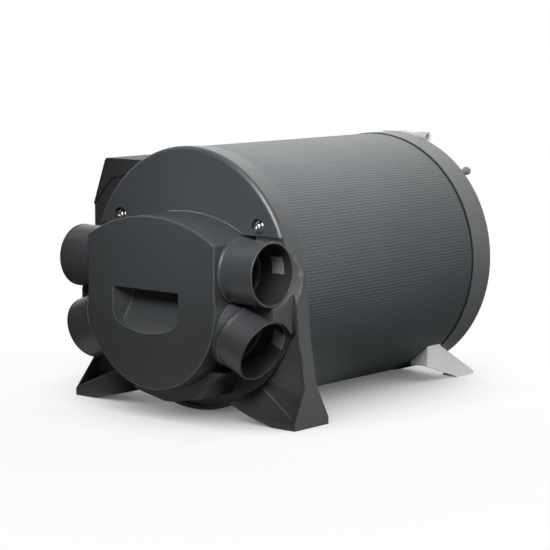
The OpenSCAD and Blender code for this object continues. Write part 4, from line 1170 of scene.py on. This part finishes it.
@dataclass
class Studio:
    """Camera, pale floor and soft light."""

    eye: Point = (1.5617, -1.6910, 0.4504)
    look: Point = (-0.0416, 0.2000, 0.1303)
    lens: float = 136.6
    sensor: float = 36.0
    clip: Flat = (0.05, 100.0)
    floor_size: float = 40.0
    floor_tone: float = 0.80
    floor_bounce: float = 0.13
    floor_glow: float = 0.92
    glow_span: Flat = (0.15, 0.9)
    near_shine: float = 0.8
    shine_span: Flat = (0.15, 0.26)
    painted_shadow_depth: float = 0.10
    painted_shadow_reach: float = 0.26
    painted_shadow_span: Flat = (0.0, 0.72)
    painted_shadow_samples: int = 8
    room: float = 0.02
    sweep: float = 2.1
    sweep_side: Point = (-0.35, 0.92, 0.15)
    sweep_span: Flat = (0.45, 0.98)
    lights: Sequence[Softbox] = (
        Softbox("overhead", (0.0, 0.85, 1.4), (0.0, 0.25, 0.1), 1.6, 6.5),
        Softbox("right_side", (1.9, 0.3, 1.5), (0.0, 0.15, 0.15), 1.2, 3.5),
        Softbox("right_strip", (1.8, 0.75, 0.30), (0.1, 0.2, 0.15), 0.40, 12.0, tall=0.6),
        Softbox("front_key", (0.27, -0.33, 0.58), (0.08, 0.0, 0.31), 0.42, 1.27, 46.0),
        Softbox("edge_right", (1.15, -1.08, 0.06), (0.05, 0.0, 0.13), 0.30, 2.4),
        Softbox("edge_left", (-1.0, -0.25, 1.30), (0.0, 0.0, 0.2), 0.40, 1.1),
    )

    def build(self) -> None:
        """Sets up the whole studio."""
        self._camera()
        self._floor()
        self._world()
        for light in self.lights:
            light.hang()

    def _camera(self) -> None:
        """Puts the camera at the photograph's viewing angle."""
        view = bpy.data.cameras.new("photo_view")
        view.lens = self.lens
        view.sensor_width = self.sensor
        view.clip_start, view.clip_end = self.clip
        bpy.context.scene.camera = aim("photo_view", view, self.eye, self.look)

    def _floor(self) -> None:
        """Lays the pale floor."""
        Workbench.fresh()
        bpy.ops.mesh.primitive_plane_add(size=self.floor_size)
        floor = bpy.context.object
        floor.name = "studio_floor"
        floor.data.materials.append(self._floor_paint())

    def _floor_paint(self) -> bpy.types.Material:
        """Makes a paint that is white to the camera, darker under the object through a painted contact shadow
        from ambient occlusion, and mirrored only near it.

        Returns:
            The node material of the floor.
        """
        paint = bpy.data.materials.new("floor_paint")
        paint.use_nodes = True
        tree = paint.node_tree
        tree.nodes.clear()
        path = tree.nodes.new("ShaderNodeLightPath")
        seen = path.outputs["Is Camera Ray"]
        matt = tree.nodes.new("ShaderNodeBsdfDiffuse")
        shade = by_ray(tree, seen, self.floor_bounce, self.floor_tone)
        tree.links.new(shade, matt.inputs["Color"])
        glow = tree.nodes.new("ShaderNodeEmission")
        glow.inputs["Color"].default_value = WHITE
        # Ambient occlusion dims the floor's glow under and beside the object: a painted contact shadow.
        cover = tree.nodes.new("ShaderNodeAmbientOcclusion")
        cover.samples = self.painted_shadow_samples
        cover.inputs["Distance"].default_value = self.painted_shadow_reach
        painted_shadow_glow = map_range(tree, cover.outputs["AO"], self.painted_shadow_span, (self.painted_shadow_depth, 1.0))
        tree.links.new(painted_shadow_glow, glow.inputs["Strength"])
        coords = tree.nodes.new("ShaderNodeTexCoord")
        away = tree.nodes.new("ShaderNodeVectorMath")
        away.operation = "LENGTH"
        tree.links.new(coords.outputs["Object"], away.inputs[0])
        fade = map_range(tree, away.outputs["Value"], self.glow_span, (self.floor_glow, 1.0))
        shine = map_range(tree, away.outputs["Value"], self.shine_span, (self.near_shine, 0.0))
        share = calculate(tree, "MULTIPLY", seen, fade)
        mirrored = calculate(tree, "MULTIPLY_ADD", path.outputs["Is Glossy Ray"], shine, share)
        mix = tree.nodes.new("ShaderNodeMixShader")
        out = tree.nodes.new("ShaderNodeOutputMaterial")
        tree.links.new(mirrored, mix.inputs["Fac"])
        tree.links.new(matt.outputs[0], mix.inputs[1])
        tree.links.new(glow.outputs[0], mix.inputs[2])
        tree.links.new(mix.outputs[0], out.inputs["Surface"])
        return paint

    def _world(self) -> None:
        """Makes the surroundings white to the camera, with a bright sweep behind the object in a dim room."""
        scene = bpy.context.scene
        scene.view_settings.view_transform = "Standard"
        world = bpy.data.worlds.new("studio_world")
        scene.world = world
        world.use_nodes = True
        tree = world.node_tree
        back = tree.nodes["Background"]
        back.inputs["Color"].default_value = WHITE
        coords = tree.nodes.new("ShaderNodeTexCoord")
        facing = tree.nodes.new("ShaderNodeVectorMath")
        facing.operation = "DOT_PRODUCT"
        facing.inputs[1].default_value = self.sweep_side
        tree.links.new(coords.outputs["Generated"], facing.inputs[0])
        glow = map_range(tree, facing.outputs["Value"], self.sweep_span, (self.room, self.sweep))
        path = tree.nodes.new("ShaderNodeLightPath")
        strength = by_ray(tree, path.outputs["Is Camera Ray"], glow, 1.0)
        tree.links.new(strength, back.inputs["Strength"])


def main() -> None:
    """Sets up the studio, then builds and dresses the heater."""
    logging.basicConfig(level=logging.INFO, format="%(name)s %(message)s")
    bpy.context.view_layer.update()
    Studio().build()
    finish_solids()
    for assembly in (Drum(), OutletEnd(), FrontTrim(), RearEnd(), SideHousings()):
        assembly.build()


if __name__ == "__main__":
    main()
